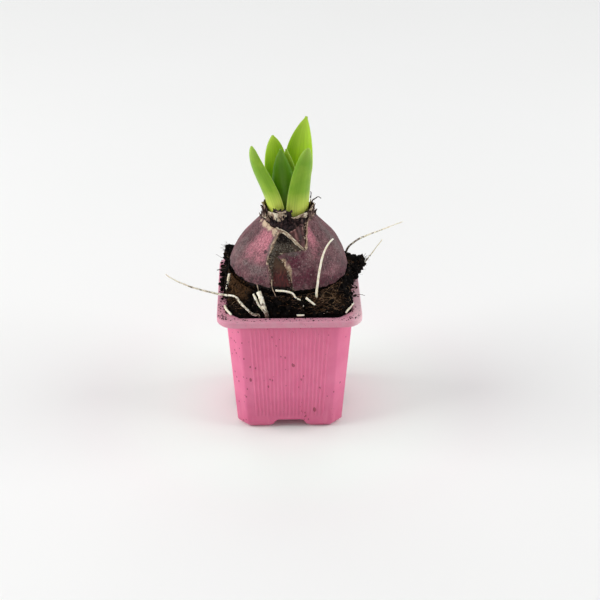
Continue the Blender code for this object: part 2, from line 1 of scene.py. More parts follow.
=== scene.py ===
"""Dressed model of the potted hyacinth: fine geometry and procedural materials on the CAD frame.

Lengths are in millimetres where a name or comment says so, and in metres otherwise. The
shapes repeat the part's own formulas with more points, and then add what solids leave out:
crumbs, fibres, torn papery skin, veins and dirt.
"""

import functools
import itertools
import math
import random
from math import cos, exp, hypot, pi, radians, sin, sqrt

import bmesh
import bpy
from mathutils import Matrix, Vector, kdtree, noise


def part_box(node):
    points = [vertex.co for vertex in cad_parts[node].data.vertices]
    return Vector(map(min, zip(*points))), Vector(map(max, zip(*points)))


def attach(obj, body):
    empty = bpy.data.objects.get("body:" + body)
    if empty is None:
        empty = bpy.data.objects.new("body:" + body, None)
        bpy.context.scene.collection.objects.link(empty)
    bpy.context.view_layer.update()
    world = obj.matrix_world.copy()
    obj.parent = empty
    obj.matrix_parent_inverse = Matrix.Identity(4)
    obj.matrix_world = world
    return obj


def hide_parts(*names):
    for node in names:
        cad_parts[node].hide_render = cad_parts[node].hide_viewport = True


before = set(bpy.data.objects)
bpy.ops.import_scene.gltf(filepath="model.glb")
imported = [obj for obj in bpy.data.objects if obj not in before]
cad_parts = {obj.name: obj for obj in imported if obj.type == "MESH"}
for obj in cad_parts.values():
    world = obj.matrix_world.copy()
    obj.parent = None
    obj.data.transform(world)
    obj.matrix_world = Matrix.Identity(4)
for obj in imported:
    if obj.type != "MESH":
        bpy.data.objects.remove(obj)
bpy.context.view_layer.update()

MM = 0.001
FULL_TURN = 2.0 * pi
BODY = "root"
CLEARANCE = 0.3 * MM
TUBE_LUMP = 1.1 * MM


def blend(first, second, share):
    return first + (second - first) * share


def clamp(value, low=0.0, high=1.0):
    return min(max(value, low), high)


def smooth(value, low=0.0, high=1.0):
    """0 below low, 1 above high, and a smooth step between them."""
    share = clamp((value - low) / (high - low))
    return share * share * (3 - 2 * share)


def bump_at(value, centre, spread):
    """A round hump of height 1 at the centre, which is gone beyond the spread."""
    return 1 - smooth(abs(value - centre), 0.0, spread)


def at(across, along, height):
    return Vector((across, along, height)) * MM


def bumps(*place):
    """Smooth noise at three numbers, about nought."""
    return noise.noise(Vector(place))


def toward(angle, up=0.0):
    """A level direction in radians from +X, with a share of upwards."""
    return Vector((cos(angle), sin(angle), up))


def turns(count):
    return [FULL_TURN * step / count for step in range(count)]


def hoop(middle, radius, side, up, count):
    """A ring of points round a middle, in the plane of two directions."""
    return [middle + radius * (cos(turn) * side + sin(turn) * up) for turn in turns(count)]


def neighbours(points, index):
    return points[max(index - 1, 0)], points[min(index + 1, len(points) - 1)]


def colour(red, green, blue):
    """A display colour from 0 to 255 as a linear one."""
    linear = []
    for channel in (red, green, blue):
        share = channel / 255
        linear.append(share / 12.92 if share <= 0.04045 else ((share + 0.055) / 1.055) ** 2.4)
    return (*linear, 1.0)


# ---- node graphs

class Graph:
    """Short calls that build the node tree of one material, coat upon coat."""

    def __init__(self, name):
        self.material = bpy.data.materials.new(name)
        self.material.use_nodes = True
        self.nodes = self.material.node_tree.nodes
        self.links = self.material.node_tree.links
        self.here = self.place(1.0, 1.0, 1.0)
        self.tint = None

    def put(self, socket, value):
        if isinstance(value, bpy.types.NodeSocket):
            self.links.new(value, socket)
        else:
            socket.default_value = colour(*value) if socket.type == "RGBA" else value

    def node(self, kind, inputs, output, **settings):
        """A new node of a kind, with its inputs by name or number; returns one output."""
        node = self.nodes.new("ShaderNode" + kind)
        for key, value in settings.items():
            setattr(node, key, value)
        for key, value in inputs.items():
            self.put(node.inputs[key], value)
        return node.outputs[output]

    def place(self, *stretch):
        """The surface's own coordinates in millimetres, squeezed along each axis."""
        return self.node("Mapping", {"Scale": [factor / MM for factor in stretch],
                                     "Vector": self.node("TexCoord", {}, "Object")}, "Vector")

    def axis(self, name):
        return self.node("SeparateXYZ", {0: self.here}, name)

    def vector(self, *parts):
        return self.node("CombineXYZ", dict(enumerate(parts)), 0)

    def noise(self, size, detail=4.0, roughness=0.55, vector=None):
        return self.node("TexNoise", {"Scale": 1.0 / size, "Detail": detail,
                                      "Roughness": roughness,
                                      "Vector": vector or self.here}, "Fac")

    def cells(self, size, vector=None):
        return self.node("TexVoronoi", {"Scale": 1.0 / size, "Vector": vector or self.here},
                         "Distance")

    def attribute(self, name):
        return self.node("Attribute", {}, "Fac", attribute_name=name)

    def remap(self, value, low, high, to_low=0.0, to_high=1.0):
        return self.node("MapRange", dict(enumerate((value, low, high, to_low, to_high))),
                         "Result", interpolation_type="SMOOTHSTEP")

    def blotch(self, low, high, most, *noise):
        """Nothing where the noise is below low, rising to most where it is above high."""
        return self.remap(self.noise(*noise), low, high, 0.0, most)

    def math(self, operation, first, second=0.0):
        return self.node("Math", {0: first, 1: second}, 0, operation=operation)

    def times(self, *factors):
        return functools.reduce(functools.partial(self.math, "MULTIPLY"), factors)

    def plus(self, *terms):
        return functools.reduce(functools.partial(self.math, "ADD"), terms)

    def centred(self, value, strength):
        """A noise value moved to swing about nought."""
        return self.times(self.math("SUBTRACT", value, 0.5), strength)

    def below(self, value, limit):
        return self.math("LESS_THAN", value, limit)

    def mix(self, share, first, second, kind="MIX"):
        return self.node("Mix", {"Factor": share, 6: first, 7: second}, 2,
                         data_type="RGBA", blend_type=kind)

    def coat(self, share, stain, kind="MIX"):
        """Lay a colour, or a socket that gives one, over the tint so far."""
        self.tint = self.mix(share, self.tint, stain, kind)

    def ramp(self, value, *stops):
        """A colour ramp; each stop is its position, red, green and blue."""
        node = self.nodes.new("ShaderNodeValToRGB")
        elements = node.color_ramp.elements
        while len(elements) < len(stops):
            elements.new(0.5)
        for element, (position, *tint) in zip(elements, stops):
            element.position = position
            element.color = colour(*tint)
        self.put(node.inputs["Fac"], value)
        return node.outputs["Color"]

    def bump(self, height, distance, strength, *normal):
        """Relief by a height value; the distance is in millimetres."""
        return self.node("Bump", {"Strength": strength, "Distance": distance * MM,
                                  "Height": height, **{"Normal": below for below in normal}},
                         "Normal")

    def finish(self, **sockets):
        for name, value in {"Base_Color": self.tint, **sockets}.items():
            self.put(self.nodes["Principled BSDF"].inputs[name.replace("_", " ")], value)
        return self.material


def toned_material(name, stops, blotch, stain, grain, strength, **sockets):
    """A finish led by its piece's own tone, with one stain and a fine grain over it."""
    graph = Graph(name)
    graph.tint = graph.ramp(graph.attribute("tone"), *stops)
    graph.coat(graph.blotch(*blotch), stain)
    return graph.finish(Normal=graph.bump(graph.noise(grain, 2.0), 0.05, strength), **sockets)


# ---- mesh helpers

def new_object(name, vertices, faces):
    """A bare mesh object in the scene, with its faces turned outwards."""
    mesh = bpy.data.meshes.new(name)
    mesh.from_pydata([tuple(vertex) for vertex in vertices], [], faces)
    surface = bmesh.new()
    surface.from_mesh(mesh)
    bmesh.ops.recalc_face_normals(surface, faces=surface.faces)
    surface.to_mesh(mesh)
    surface.free()
    piece = bpy.data.objects.new(name, mesh)
    bpy.context.scene.collection.objects.link(piece)
    return piece


def make_piece(name, vertices, faces, material, replaced=(), attributes=None,
               flat=False, solid=0.0):
    """One piece of the scene: mesh, smooth shading, material and body, with an optional thickness,
    and the parts it replaces hidden.
    """
    piece = new_object(name, vertices, faces)
    for key, values in (attributes or {}).items():
        layer = piece.data.attributes.new(key, "FLOAT", "POINT")
        layer.data.foreach_set("value", values)
    if not flat:
        piece.data.shade_smooth()
    piece.data.materials.append(material)
    if solid:
        modifier = piece.modifiers.new("thickness", "SOLIDIFY")
        modifier.thickness = solid
        modifier.offset = -1.0
        apply_modifiers(piece)
        piece.data.shade_smooth()
    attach(piece, BODY)
    if replaced:
        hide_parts(*replaced)
    return piece


def apply_modifiers(piece):
    evaluated = piece.evaluated_get(bpy.context.evaluated_depsgraph_get())
    mesh = bpy.data.meshes.new_from_object(evaluated)
    piece.modifiers.clear()
    piece.data = mesh


def grid_faces(rows, columns, closed):
    """Faces of a grid of points laid row by row; closed joins the last column to the first."""
    faces = []
    for row in range(rows - 1):
        for column in range(columns if closed else columns - 1):
            following = (column + 1) % columns
            faces.append((row * columns + column, row * columns + following,
                          (row + 1) * columns + following, (row + 1) * columns + column))
    return faces


def loft(rings, start=None, end=None):
    count = len(rings[0])
    vertices = [point for ring in rings for point in ring]
    faces = grid_faces(len(rings), count, True)
    for pole, first in ((start, 0), (end, (len(rings) - 1) * count)):
        rim = [first + index for index in range(count)]
        if pole is None:
            faces.append(tuple(rim))
            continue
        vertices.append(pole)
        tip = len(vertices) - 1
        faces.extend((rim[index], rim[(index + 1) % count], tip) for index in range(count))
    return vertices, faces


def combine(target, operation, tools):
    """Apply one Boolean with several tool bodies to a target, then remove the tools."""
    for tool in tools:
        modifier = target.modifiers.new(operation.lower(), "BOOLEAN")
        modifier.object = tool
        modifier.operation = operation
        modifier.solver = "EXACT"
        apply_modifiers(target)
        bpy.data.objects.remove(tool, do_unlink=True)


class Batch:
    """Many small bodies gathered in one mesh, and the seeded draws that shape them."""

    def __init__(self, seed=0):
        self.vertices, self.faces, self.tone = [], [], []
        self.chance = random.Random(seed)

    def add(self, vertices, faces, tone):
        base = len(self.vertices)
        self.vertices.extend(vertices)
        self.tone.extend(tone if isinstance(tone, list) else [tone] * len(vertices))
        self.faces.extend(tuple(base + index for index in face) for face in faces)

    def tube(self, route, first, last, sides, tone, rough=0.0):
        self.add(*tube_mesh(route, first, last, sides, rough), tone)

    def strands(self, table):
        """Tubes on routes: (first and last radius, sides, tone, roughness, steps, points)."""
        for first, last, sides, tone, rough, steps, points in table:
            route = smooth_route([at(*point) for point in points], steps)
            self.tube(route, first * MM, last * MM, sides, tone, rough)

    def crumb(self, centre, size, tone, squash=0.7, shape=None):
        """One grain or lump of soil: a ball stretched, turned and dented at random."""
        between = self.chance.uniform
        corners, faces = shape or CRUMB
        turn = Matrix.Rotation(between(0, FULL_TURN), 3,
                               Vector((between(-1, 1), between(-1, 1), 1)).normalized())
        stretch = Vector((between(0.6, 1.5), between(0.6, 1.2), between(0.45, 1.0) * squash))
        self.add([centre + turn @ (corner * stretch * between(0.74, 1.22)) * size
                  for corner in corners], faces, tone)

    def wander(self, start, heading, length, steps, wild):
        """A route that strays from its heading as it goes."""
        route, direction = [start], heading.normalized()
        for _ in range(steps):
            stray = [self.chance.gauss(0, wild) for _ in range(3)]
            direction = (direction + Vector(stray)).normalized()
            route.append(route[-1] + direction * (length / steps))
        return route

    def piece(self, name, material, slot, flat=False):
        return make_piece(name, self.vertices, self.faces, material,
                          attributes={"tone": self.tone}, flat=flat)


def tube_mesh(route, first, last, sides, rough=0.0, rounded=False):
    """A round tapering body along a route; rough is its share of uneven thickness."""
    rings, side = [], None
    for index, point in enumerate(route):
        before, after = neighbours(route, index)
        direction = (after - before).normalized()
        if side is None:
            side = direction.orthogonal().normalized()
        side = (side - direction * side.dot(direction)).normalized()
        radius = blend(first, last, index / (len(route) - 1))
        radius *= 1 + rough * noise.noise(point / TUBE_LUMP)
        if rounded and index in (0, len(route) - 1):
            radius *= 0.55
        rings.append(hoop(point, radius, side, direction.cross(side), sides))
    return loft(rings)


def smooth_route(points, steps):
    """A smooth curve through the points, with so many steps between each two."""
    route = []
    for index, (start, stop) in enumerate(zip(points, points[1:])):
        before, after = neighbours(points, index)[0], neighbours(points, index + 1)[1]
        for step in range(steps):
            share = step / steps
            route.append(0.5 * (2 * start + (stop - before) * share
                                + (2 * before - 5 * start + 4 * stop - after) * share ** 2
                                + (3 * start - before - 3 * stop + after) * share ** 3))
    return route + [points[-1]]


# ---- the pot

POT_LOW, POT_HIGH = (Vector(corner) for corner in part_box("pot"))
POT_HEIGHT = POT_HIGH.z
RIM_HALF = POT_HIGH.x
SIDES_OF_POT = 4
RIM_CORNER = 8.5 * MM
LIP_HEIGHT = 3.2 * MM
FLANGE_THICKNESS = 1.1 * MM
RIM_ROUNDING = 0.5 * MM
WALL = 1.0 * MM
FLOOR = 1.2 * MM
BODY_HALF_TOP = 30.8 * MM
BODY_HALF_BASE = 26.0 * MM
CHAMFER_TOP = 6.85 * MM
CHAMFER_BASE = 5.15 * MM
BASE_ROUNDING = 2.2 * MM
EDGE_ROUNDING = 0.7 * MM
SHARP_EDGE = radians(38)
WELD = 0.01 * MM
RIBS_PER_FACE = 19
RIB_PITCH_TOP = 2.1 * MM
RIB_PITCH_BASE = 1.82 * MM
RIB_HEIGHT = 0.35 * MM
RIB_ROOT_WIDTH = 1.2 * MM
RIB_CREST_WIDTH = 0.5 * MM
RIB_BOTTOM = 6.5 * MM
RIB_TOP = 60.5 * MM
ARCH_HEIGHT = 4.7 * MM
ARCH_HALF_TOP = 5.5 * MM
ARCH_HALF_BASE = 11.0 * MM
ARCH_STEPS = 20
DRAIN_RADIUS = 2.5 * MM
DRAIN_OFFSET = 14.0 * MM
DRAIN_STEPS = 32
BODY_TOP = POT_HEIGHT - FLANGE_THICKNESS


def body_half(height):
    return blend(BODY_HALF_BASE, BODY_HALF_TOP, height / BODY_TOP)


def body_chamfer(height):
    return blend(CHAMFER_BASE, CHAMFER_TOP, height / BODY_TOP)


def rib_stations(height):
    """(distance along a face, share of the rib's full height) for each point of a face."""
    pitch = blend(RIB_PITCH_BASE, RIB_PITCH_TOP, (height - RIB_BOTTOM) / (RIB_TOP - RIB_BOTTOM))
    middle = (RIBS_PER_FACE - 1) / 2
    root, crest = RIB_ROOT_WIDTH / 2, RIB_CREST_WIDTH / 2
    stations = []
    for place in range(RIBS_PER_FACE):
        centre = (place - middle) * pitch
        stations.extend(((centre - root, 0.0), (centre - crest - 0.06 * MM, 0.86),
                         (centre - 0.6 * crest, 1.0), (centre + 0.6 * crest, 1.0),
                         (centre + crest + 0.06 * MM, 0.86), (centre + root, 0.0)))
    return stations


def corner_points(half, corner, roundness):
    """Points round one corner of the outline, between the -Y face and the +X face."""
    start, stop = Vector((half - corner, -half)), Vector((half, -half + corner))
    along_first, along_last = Vector((1.0, 0.0)), Vector((0.0, 1.0))
    slope = (stop - start).normalized()
    ease = min(EDGE_ROUNDING, corner / 3)
    flat = []
    for knee, before, after in ((start, along_first, slope), (stop, slope, along_last)):
        first, last = knee - before * ease, knee + after * ease
        flat.extend((first, (first + 2 * knee + last) / 4, last))
    flat.insert(3, (flat[2] + flat[3]) / 2)
    centre = Vector((half - corner, -half + corner))
    points = []
    for index, place in enumerate(flat):
        swing = pi / 2 * index / (len(flat) - 1)
        arc = centre + corner * Vector((sin(swing), -cos(swing)))
        points.append(place.lerp(arc, roundness))
    return points


def pot_ring(half, corner, height, roundness=0.0, ribs=0.0):
    """One level of the pot: four ribbed faces and four corners."""
    stations = rib_stations(clamp(height, RIB_BOTTOM, RIB_TOP))
    span = half - corner
    widest = body_half(height) - body_chamfer(height)
    stretch = span / widest
    face = [Vector((place * stretch, -half - share * ribs)) for place, share in stations]
    margin = face[-1].x
    side_points = [Vector((blend(margin, span - EDGE_ROUNDING, share), -half))
                   for share in (0.35, 0.7)]
    outline = ([Vector((-point.x, point.y)) for point in reversed(side_points)] + face
               + side_points + corner_points(half, corner, roundness))
    ring = []
    for side in range(SIDES_OF_POT):
        turn = Matrix.Rotation(side * FULL_TURN / SIDES_OF_POT, 2)
        for point in outline:
            turned = turn @ point
            ring.append(Vector((turned.x, turned.y, height)))
    return ring


def pot_levels():
    """Rings up the outside of the tapered body, closer together where the ribs fade."""
    foot = BASE_ROUNDING
    rings = [pot_ring(body_half(0) - 1.3 * foot, CHAMFER_BASE, 0.0)]
    for step in range(6):
        swing = pi / 2 * step / 5
        drop = foot * (1 - sin(swing))
        inset = 0.75 * foot * (1 - cos(pi / 2 - swing))
        rings.append(pot_ring(body_half(foot - drop) - inset,
                              body_chamfer(foot) - 0.5 * inset, foot - drop))
    fade = 1.2 * MM
    heights = [4.0 * MM, RIB_BOTTOM - 0.2 * MM, RIB_BOTTOM + 0.3 * fade, RIB_BOTTOM + fade]
    heights += [blend(RIB_BOTTOM + fade, RIB_TOP - fade, step / 16) for step in range(1, 17)]
    heights += [RIB_TOP - 0.3 * fade, RIB_TOP + 0.2 * MM, BODY_TOP - 0.4 * MM]
    for height in heights:
        strength = min(smooth(height, RIB_BOTTOM - 0.1 * MM, RIB_BOTTOM + fade),
                       1 - smooth(height, RIB_TOP - fade, RIB_TOP + 0.1 * MM))
        rings.append(pot_ring(body_half(height), body_chamfer(height), height, 0.0,
                              RIB_HEIGHT * strength))
    return rings


def rim_levels():
    """Rings under the flange, down inside the lip, and up round its outside to the top."""
    inside = RIM_HALF - WALL
    lip_bottom = POT_HEIGHT - LIP_HEIGHT
    ease = 0.3 * MM
    profile = [(BODY_HALF_TOP + 0.3 * MM, BODY_TOP, CHAMFER_TOP, 0.1),
               (BODY_HALF_TOP + 1.2 * MM, BODY_TOP, CHAMFER_TOP + 0.4 * MM, 0.4),
               (inside - ease, BODY_TOP, RIM_CORNER - WALL - ease, 1.0),
               (inside, BODY_TOP - ease, RIM_CORNER - WALL, 1.0),
               (inside, lip_bottom + ease, RIM_CORNER - WALL, 1.0),
               (inside + ease, lip_bottom, RIM_CORNER - WALL + ease, 1.0),
               (RIM_HALF - ease, lip_bottom, RIM_CORNER - ease, 1.0),
               (RIM_HALF, lip_bottom + ease, RIM_CORNER, 1.0)]
    for share in (0.25, 0.5, 0.75, 1.0):
        profile.append((RIM_HALF, blend(lip_bottom + ease, POT_HEIGHT - RIM_ROUNDING, share),
                        RIM_CORNER, 1.0))
    for step in range(1, 6):
        swing = pi / 2 * step / 5
        inset = RIM_ROUNDING * (1 - cos(swing))
        profile.append((RIM_HALF - inset, POT_HEIGHT - RIM_ROUNDING * (1 - sin(swing)),
                        RIM_CORNER - inset, 1.0))
    for reach in (1.2, 2.2):
        profile.append((RIM_HALF - reach * MM, POT_HEIGHT, RIM_CORNER - 0.4 * reach * MM, 1.0))
    return [pot_ring(half, corner, height, roundness)
            for half, height, corner, roundness in profile]


def arch_profile(growth):
    profile = []
    for step in range(ARCH_STEPS + 1):
        share = step / ARCH_STEPS
        half = blend(ARCH_HALF_BASE, ARCH_HALF_TOP, share)
        rise = 0.5 - 0.5 * cos(pi * share)
        profile.append((half + 0.7 * growth, ARCH_HEIGHT * rise + growth))
    return profile


def arch_prism(growth, along_x):
    reach = RIM_HALF + 5 * MM
    below = -2 * MM
    profile = arch_profile(growth)
    foot = profile[0][0]
    outline = [(foot, below)] + profile
    outline += [(-half, height) for half, height in reversed(profile)] + [(-foot, below)]
    turn = Matrix.Rotation(FULL_TURN / 4 if along_x else 0.0, 3, "Z")
    rings = [[turn @ Vector((across, end, height)) for across, height in outline]
             for end in (-reach, reach)]
    return new_object("channel", *loft(rings))


def pot_hollow():
    """The space inside the pot, with the raised floor channels taken out of it."""
    flare = 1.1 * MM
    above = 5.0 * MM
    rings = [pot_ring(body_half(FLOOR) - WALL - 0.8 * MM, CHAMFER_BASE - 0.9 * MM, FLOOR),
             pot_ring(body_half(2 * FLOOR) - WALL, CHAMFER_BASE - 0.4 * MM, 2 * FLOOR)]
    for share in (0.33, 0.66, 1.0):
        height = blend(2 * FLOOR, BODY_TOP - 0.6 * MM, share)
        rings.append(pot_ring(body_half(height) - WALL, body_chamfer(height) - 0.5 * MM, height))
    for step in range(1, 5):
        swing = pi / 2 * step / 4
        grow = flare * (1 - cos(swing))
        height = BODY_TOP - 0.6 * MM + (POT_HEIGHT - BODY_TOP + 0.6 * MM) * sin(swing)
        rings.append(pot_ring(body_half(BODY_TOP) - WALL + grow, CHAMFER_TOP, height,
                              0.3 * step / 4))
    rings.append(pot_ring(body_half(BODY_TOP) - WALL + flare + above, CHAMFER_TOP + above,
                          POT_HEIGHT + above, 1.0))
    hollow = new_object("hollow", *loft(rings))
    combine(hollow, "DIFFERENCE", [arch_prism(FLOOR, False), arch_prism(FLOOR, True)])
    return hollow


def drains():
    cutters = []
    for side in range(SIDES_OF_POT):
        turn = Matrix.Rotation(side * FULL_TURN / SIDES_OF_POT, 3, "Z")
        centre = turn @ Vector((DRAIN_OFFSET, 0.0, 0.0))
        rings = [[centre + Vector((DRAIN_RADIUS * cos(angle),
                                   DRAIN_RADIUS * sin(angle), height))
                  for angle in turns(DRAIN_STEPS)]
                 for height in (ARCH_HEIGHT - 2 * MM, ARCH_HEIGHT + 4 * MM)]
        cutters.append(new_object("drain", *loft(rings)))
    return cutters


def plastic_material():
    """Pink moulded plastic: fine mottling, soil splashes, dust on the rim, a painted shade band
    under the flange and a painted highlight on the rim's right side.
    """
    graph = Graph("pink_plastic")
    height = graph.axis("Z")
    graph.tint = graph.mix(graph.blotch(0.3, 0.7, 1.0, 9.0, 3.0), (236, 119, 160),
                           (229, 108, 152))
    graph.coat(graph.remap(height, 0.0, 62.0, 0.0, 0.25), (226, 106, 142))
    # Painted shade: a darker band just under the flange, where the rim's shadow falls.
    graph.coat(graph.remap(height, 58.0, 62.0, 0.0, 0.35), (186, 74, 112))
    graph.coat(graph.remap(height, 27.0, 5.0, 0.0, 0.42), (184, 62, 104))
    washed, drops = graph.place(1.0, 1.0, 0.12), graph.place(1.0, 1.0, 0.6)
    graph.coat(graph.blotch(0.52, 0.75, 0.20, 2.4, 3.0, 0.55, washed), (244, 146, 176))
    large = graph.below(graph.cells(4.6, drops), graph.blotch(0.46, 0.66, 0.19, 7.0, 2.0))
    small = graph.below(graph.cells(1.9, drops), graph.blotch(0.44, 0.64, 0.22, 9.0, 2.0))
    splash = graph.math("MAXIMUM", large, small)
    graph.coat(graph.times(splash, 0.72), (128, 16, 42))

    lip, top = (POT_HEIGHT - LIP_HEIGHT) / MM, POT_HEIGHT / MM
    rim = graph.remap(height, lip - 0.15, lip + 0.15)
    dust = graph.remap(graph.noise(2.6), 0.25, 0.75, 0.75, 1.0)
    graph.coat(graph.times(rim, dust), (214, 150, 168))
    # Painted highlight: the rim's right side turns paler towards +X, standing in for the light
    # that falls on it.
    painted_rim_highlight = graph.remap(graph.axis("X"), 28.0, 33.5, 0.0, 0.6)
    graph.coat(graph.times(rim, painted_rim_highlight), (236, 204, 208))
    grime = graph.blotch(0.56, 0.72, 0.6, 1.3, 5.0, 0.7)
    graph.coat(graph.times(grime, graph.remap(height, top - 0.9, top - 0.1)), (96, 50, 56))
    flecks = graph.below(graph.cells(1.0), 0.17)
    graph.coat(graph.times(flecks, graph.blotch(0.5, 0.64, 0.7, 5.0, 2.0), rim), (70, 36, 40))
    rough = graph.remap(graph.noise(5.0), 0.3, 0.7, 0.30, 0.42)
    return graph.finish(Roughness=graph.math("MAXIMUM", rough, graph.times(rim, 0.6)),
                        Specular_IOR_Level=0.62, Subsurface_Weight=0.08,
                        Subsurface_Radius=(0.004, 0.0015, 0.002), Subsurface_Scale=0.5,
                        Normal=graph.bump(graph.noise(0.35, 2.0), 0.02, 0.5))


def make_pot():
    pot = new_object("pot_body", *loft(pot_levels() + rim_levels()))
    combine(pot, "DIFFERENCE", [pot_hollow(), arch_prism(0.0, False), arch_prism(0.0, True)]
            + drains())
    surface = bmesh.new()
    surface.from_mesh(pot.data)
    bmesh.ops.remove_doubles(surface, verts=surface.verts, dist=WELD)
    bmesh.ops.dissolve_degenerate(surface, edges=surface.edges, dist=0.5 * WELD)
    for edge in surface.edges:
        edge.smooth = edge.calc_face_angle(0.0) < SHARP_EDGE
    for face in surface.faces:
        face.smooth = True
    surface.to_mesh(pot.data)
    surface.free()
    pot.data.materials.clear()
    pot.data.materials.append(plastic_material())
    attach(pot, BODY)
    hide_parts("pot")
    return pot


# ---- bulb and mound

BULB_LOW, BULB_HIGH = (Vector(corner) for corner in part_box("bulb"))
BULB_CENTRE = Vector((0.0, 1.0 * MM, 0.0))
BULB_PROFILE = (
    (52, 6), (53, 9), (56, 15), (60, 20), (66, 25.2), (72, 27.6), (77, 28.3), (82, 27.9),
    (87, 26.4), (92, 23.6), (97, 19.4), (101, 15.8), (105, 12.9), (107.5, 11.9), (110, 11.9),
    (115, 13.1),
)
BULB_POINTS = [(level * MM, radius * MM) for level, radius in BULB_PROFILE]
BULB_EQUATOR = 77.0 * MM
FOLD_DEPTH = 0.25 * MM
FOLD_FADE = 8 * MM


def bulb_radius(height):
    """The bulb's radius at a height, on a smooth curve through its profile."""
    points = BULB_POINTS
    height = clamp(height, points[0][0], points[-1][0])
    index = max(step for step, point in enumerate(points[:-1]) if point[0] <= height)
    low, high = points[index], points[index + 1]
    before, after = neighbours(points, index)[0], neighbours(points, index + 1)[1]
    span = high[0] - low[0]
    share = (height - low[0]) / span
    slope_low = (high[1] - before[1]) / (high[0] - before[0]) * span
    slope_high = (after[1] - low[1]) / (after[0] - low[0]) * span
    square, cube = share * share, share ** 3
    return ((2 * cube - 3 * square + 1) * low[1] + (cube - 2 * square + share) * slope_low
            + (3 * square - 2 * cube) * high[1] + (cube - square) * slope_high)


def ring_point(radius, angle, height):
    """A point round the bulb's axis, in metres and radians."""
    return BULB_CENTRE + Vector((radius * cos(angle), radius * sin(angle), height))


def bulb_point(degrees, height, lift=0.0):
    """A point of the bulb's skin: degrees run from the front towards +X, height in mm."""
    turn = radians(degrees - 90.0)
    strength = clamp((height * MM - BULB_EQUATOR) / FOLD_FADE)
    waves = 0.6 * sin(7 * turn + 0.8) + 0.4 * sin(12 * turn + 2.1)
    radius = (bulb_radius(height * MM) - FOLD_DEPTH * strength * (0.5 + 0.5 * waves)
              + lift * MM)
    return ring_point(radius, turn, height * MM)


SOIL_EDGE = 65.9 * MM
SOIL_SHOULDER = 67.6 * MM
SOIL_CONTACT_FRONT = 76.5 * MM
SOIL_CONTACT_BACK = 80.0 * MM
SOIL_LEDGE = 0.9 * MM
SOIL_LUMP = 0.8 * MM
SOIL_LUMP_SIZE = 4.5 * MM
SOIL_RELIEF = 2.1 * MM
SHOULDER_RISE = 0.3
UNDERSIDE_RISE = 0.15
UNDERSIDE_STEP = 1.0 * MM
SOIL_CLODS = (
    (146, 24, 8.2, 2.0), (13, 18, 7.8, 8.4), (62, 34, 5.0, 1.0), (188, 26, 3.0, 0.5),
    (318, 24, 1.5, 0.0),
)


def wall_reach(angle, height):
    """Distance from the bulb's axis to the inside of the pot's wall in a direction."""
    half = body_half(height) - WALL - CLEARANCE
    diagonal = 2 * half - body_chamfer(height) + 0.55 * MM
    reaches = []
    for across, along in itertools.product((-1, 0, 1), repeat=2):
        slope = across * cos(angle) + along * sin(angle)
        if slope > 1e-6:
            limit = diagonal if across and along else half
            reaches.append((limit - along * BULB_CENTRE.y) / slope)
    return min(reaches)


def clod(angle):
    """(lift, reach) that the clods add at the soil's edge in a direction."""
    lift = reach = 0.0
    for place, spread, clod_lift, clod_reach in SOIL_CLODS:
        share = bump_at(turned(math.degrees(angle) - place), 0.0, spread)
        lift = max(lift, clod_lift * share)
        reach = max(reach, clod_reach * share)
    return lift * MM, reach * MM


def soil_contact(angle):
    return blend(SOIL_CONTACT_FRONT, SOIL_CONTACT_BACK, 0.5 + 0.5 * sin(angle))


def soil_point(angle, rise, raised=0.0):
    """A point of the mound: rise runs from 0 at the pot's wall to 1 against the bulb."""
    lift, reach = clod(angle)
    contact = soil_contact(angle)
    wall = wall_reach(angle, BODY_TOP)
    inner = bulb_radius(contact) + CLEARANCE + SOIL_LEDGE
    outer = max(wall + reach, inner + 0.3 * MM)
    shoulder = SOIL_SHOULDER + lift
    underside = blend(wall, outer, 0.45)
    if rise <= UNDERSIDE_RISE:
        share = rise / UNDERSIDE_RISE
        distance = blend(wall, underside, share)
        height = blend(SOIL_EDGE, SOIL_EDGE + UNDERSIDE_STEP, share)
    elif rise <= SHOULDER_RISE:
        share = (rise - UNDERSIDE_RISE) / (SHOULDER_RISE - UNDERSIDE_RISE)
        distance = blend(underside, outer, share)
        height = blend(SOIL_EDGE + UNDERSIDE_STEP, shoulder, share)
    else:
        share = (rise - SHOULDER_RISE) / (1 - SHOULDER_RISE)
        distance = blend(outer, inner, share)
        height = blend(shoulder, contact, share ** 0.8)
    outward = toward(angle)
    point = BULB_CENTRE + outward * distance + Vector((0.0, 0.0, height))
    slope = Vector((outward.x, outward.y, 0.6)).normalized()
    lumpiness = SOIL_LUMP * sin(pi * clamp(rise)) ** 0.5
    lump = noise.noise(point / SOIL_LUMP_SIZE) + 0.5 * noise.noise(point * 2.3 / SOIL_LUMP_SIZE)
    return point + slope * (lumpiness * max(lump, -0.35) + raised)


SOIL_TURNS = 540
SOIL_LEVELS = 120
SOIL_DEEP = (22 * MM, 44 * MM, 56 * MM, 62 * MM)


def soil_material():
    """Peaty potting soil: near black crumbs with brown fibrous zones and pale flecks."""
    graph = Graph("potting_soil")
    fine = graph.noise(0.55, 5.0, 0.7)
    dark = graph.ramp(fine, (0.30, 2, 2, 2), (0.55, 10, 7, 6), (0.80, 28, 20, 15))
    warm = graph.ramp(fine, (0.30, 14, 9, 6), (0.50, 72, 49, 30), (0.75, 128, 94, 60))
    share = graph.plus(graph.blotch(0.45, 0.64, 0.3, 9.0, 3.0, 0.6), graph.attribute("tone"))
    graph.tint = graph.mix(graph.remap(share, 0.15, 0.95), dark, warm)
    fleck = graph.below(graph.cells(1.7), 0.10)
    graph.coat(graph.times(fleck, graph.blotch(0.54, 0.62, 0.5, 3.0, 1.0)), (160, 136, 98))
    return graph.finish(Roughness=0.9, Specular_IOR_Level=0.1,
                        Normal=graph.bump(graph.noise(1.4, 6.0, 0.75), 0.6, 0.9))


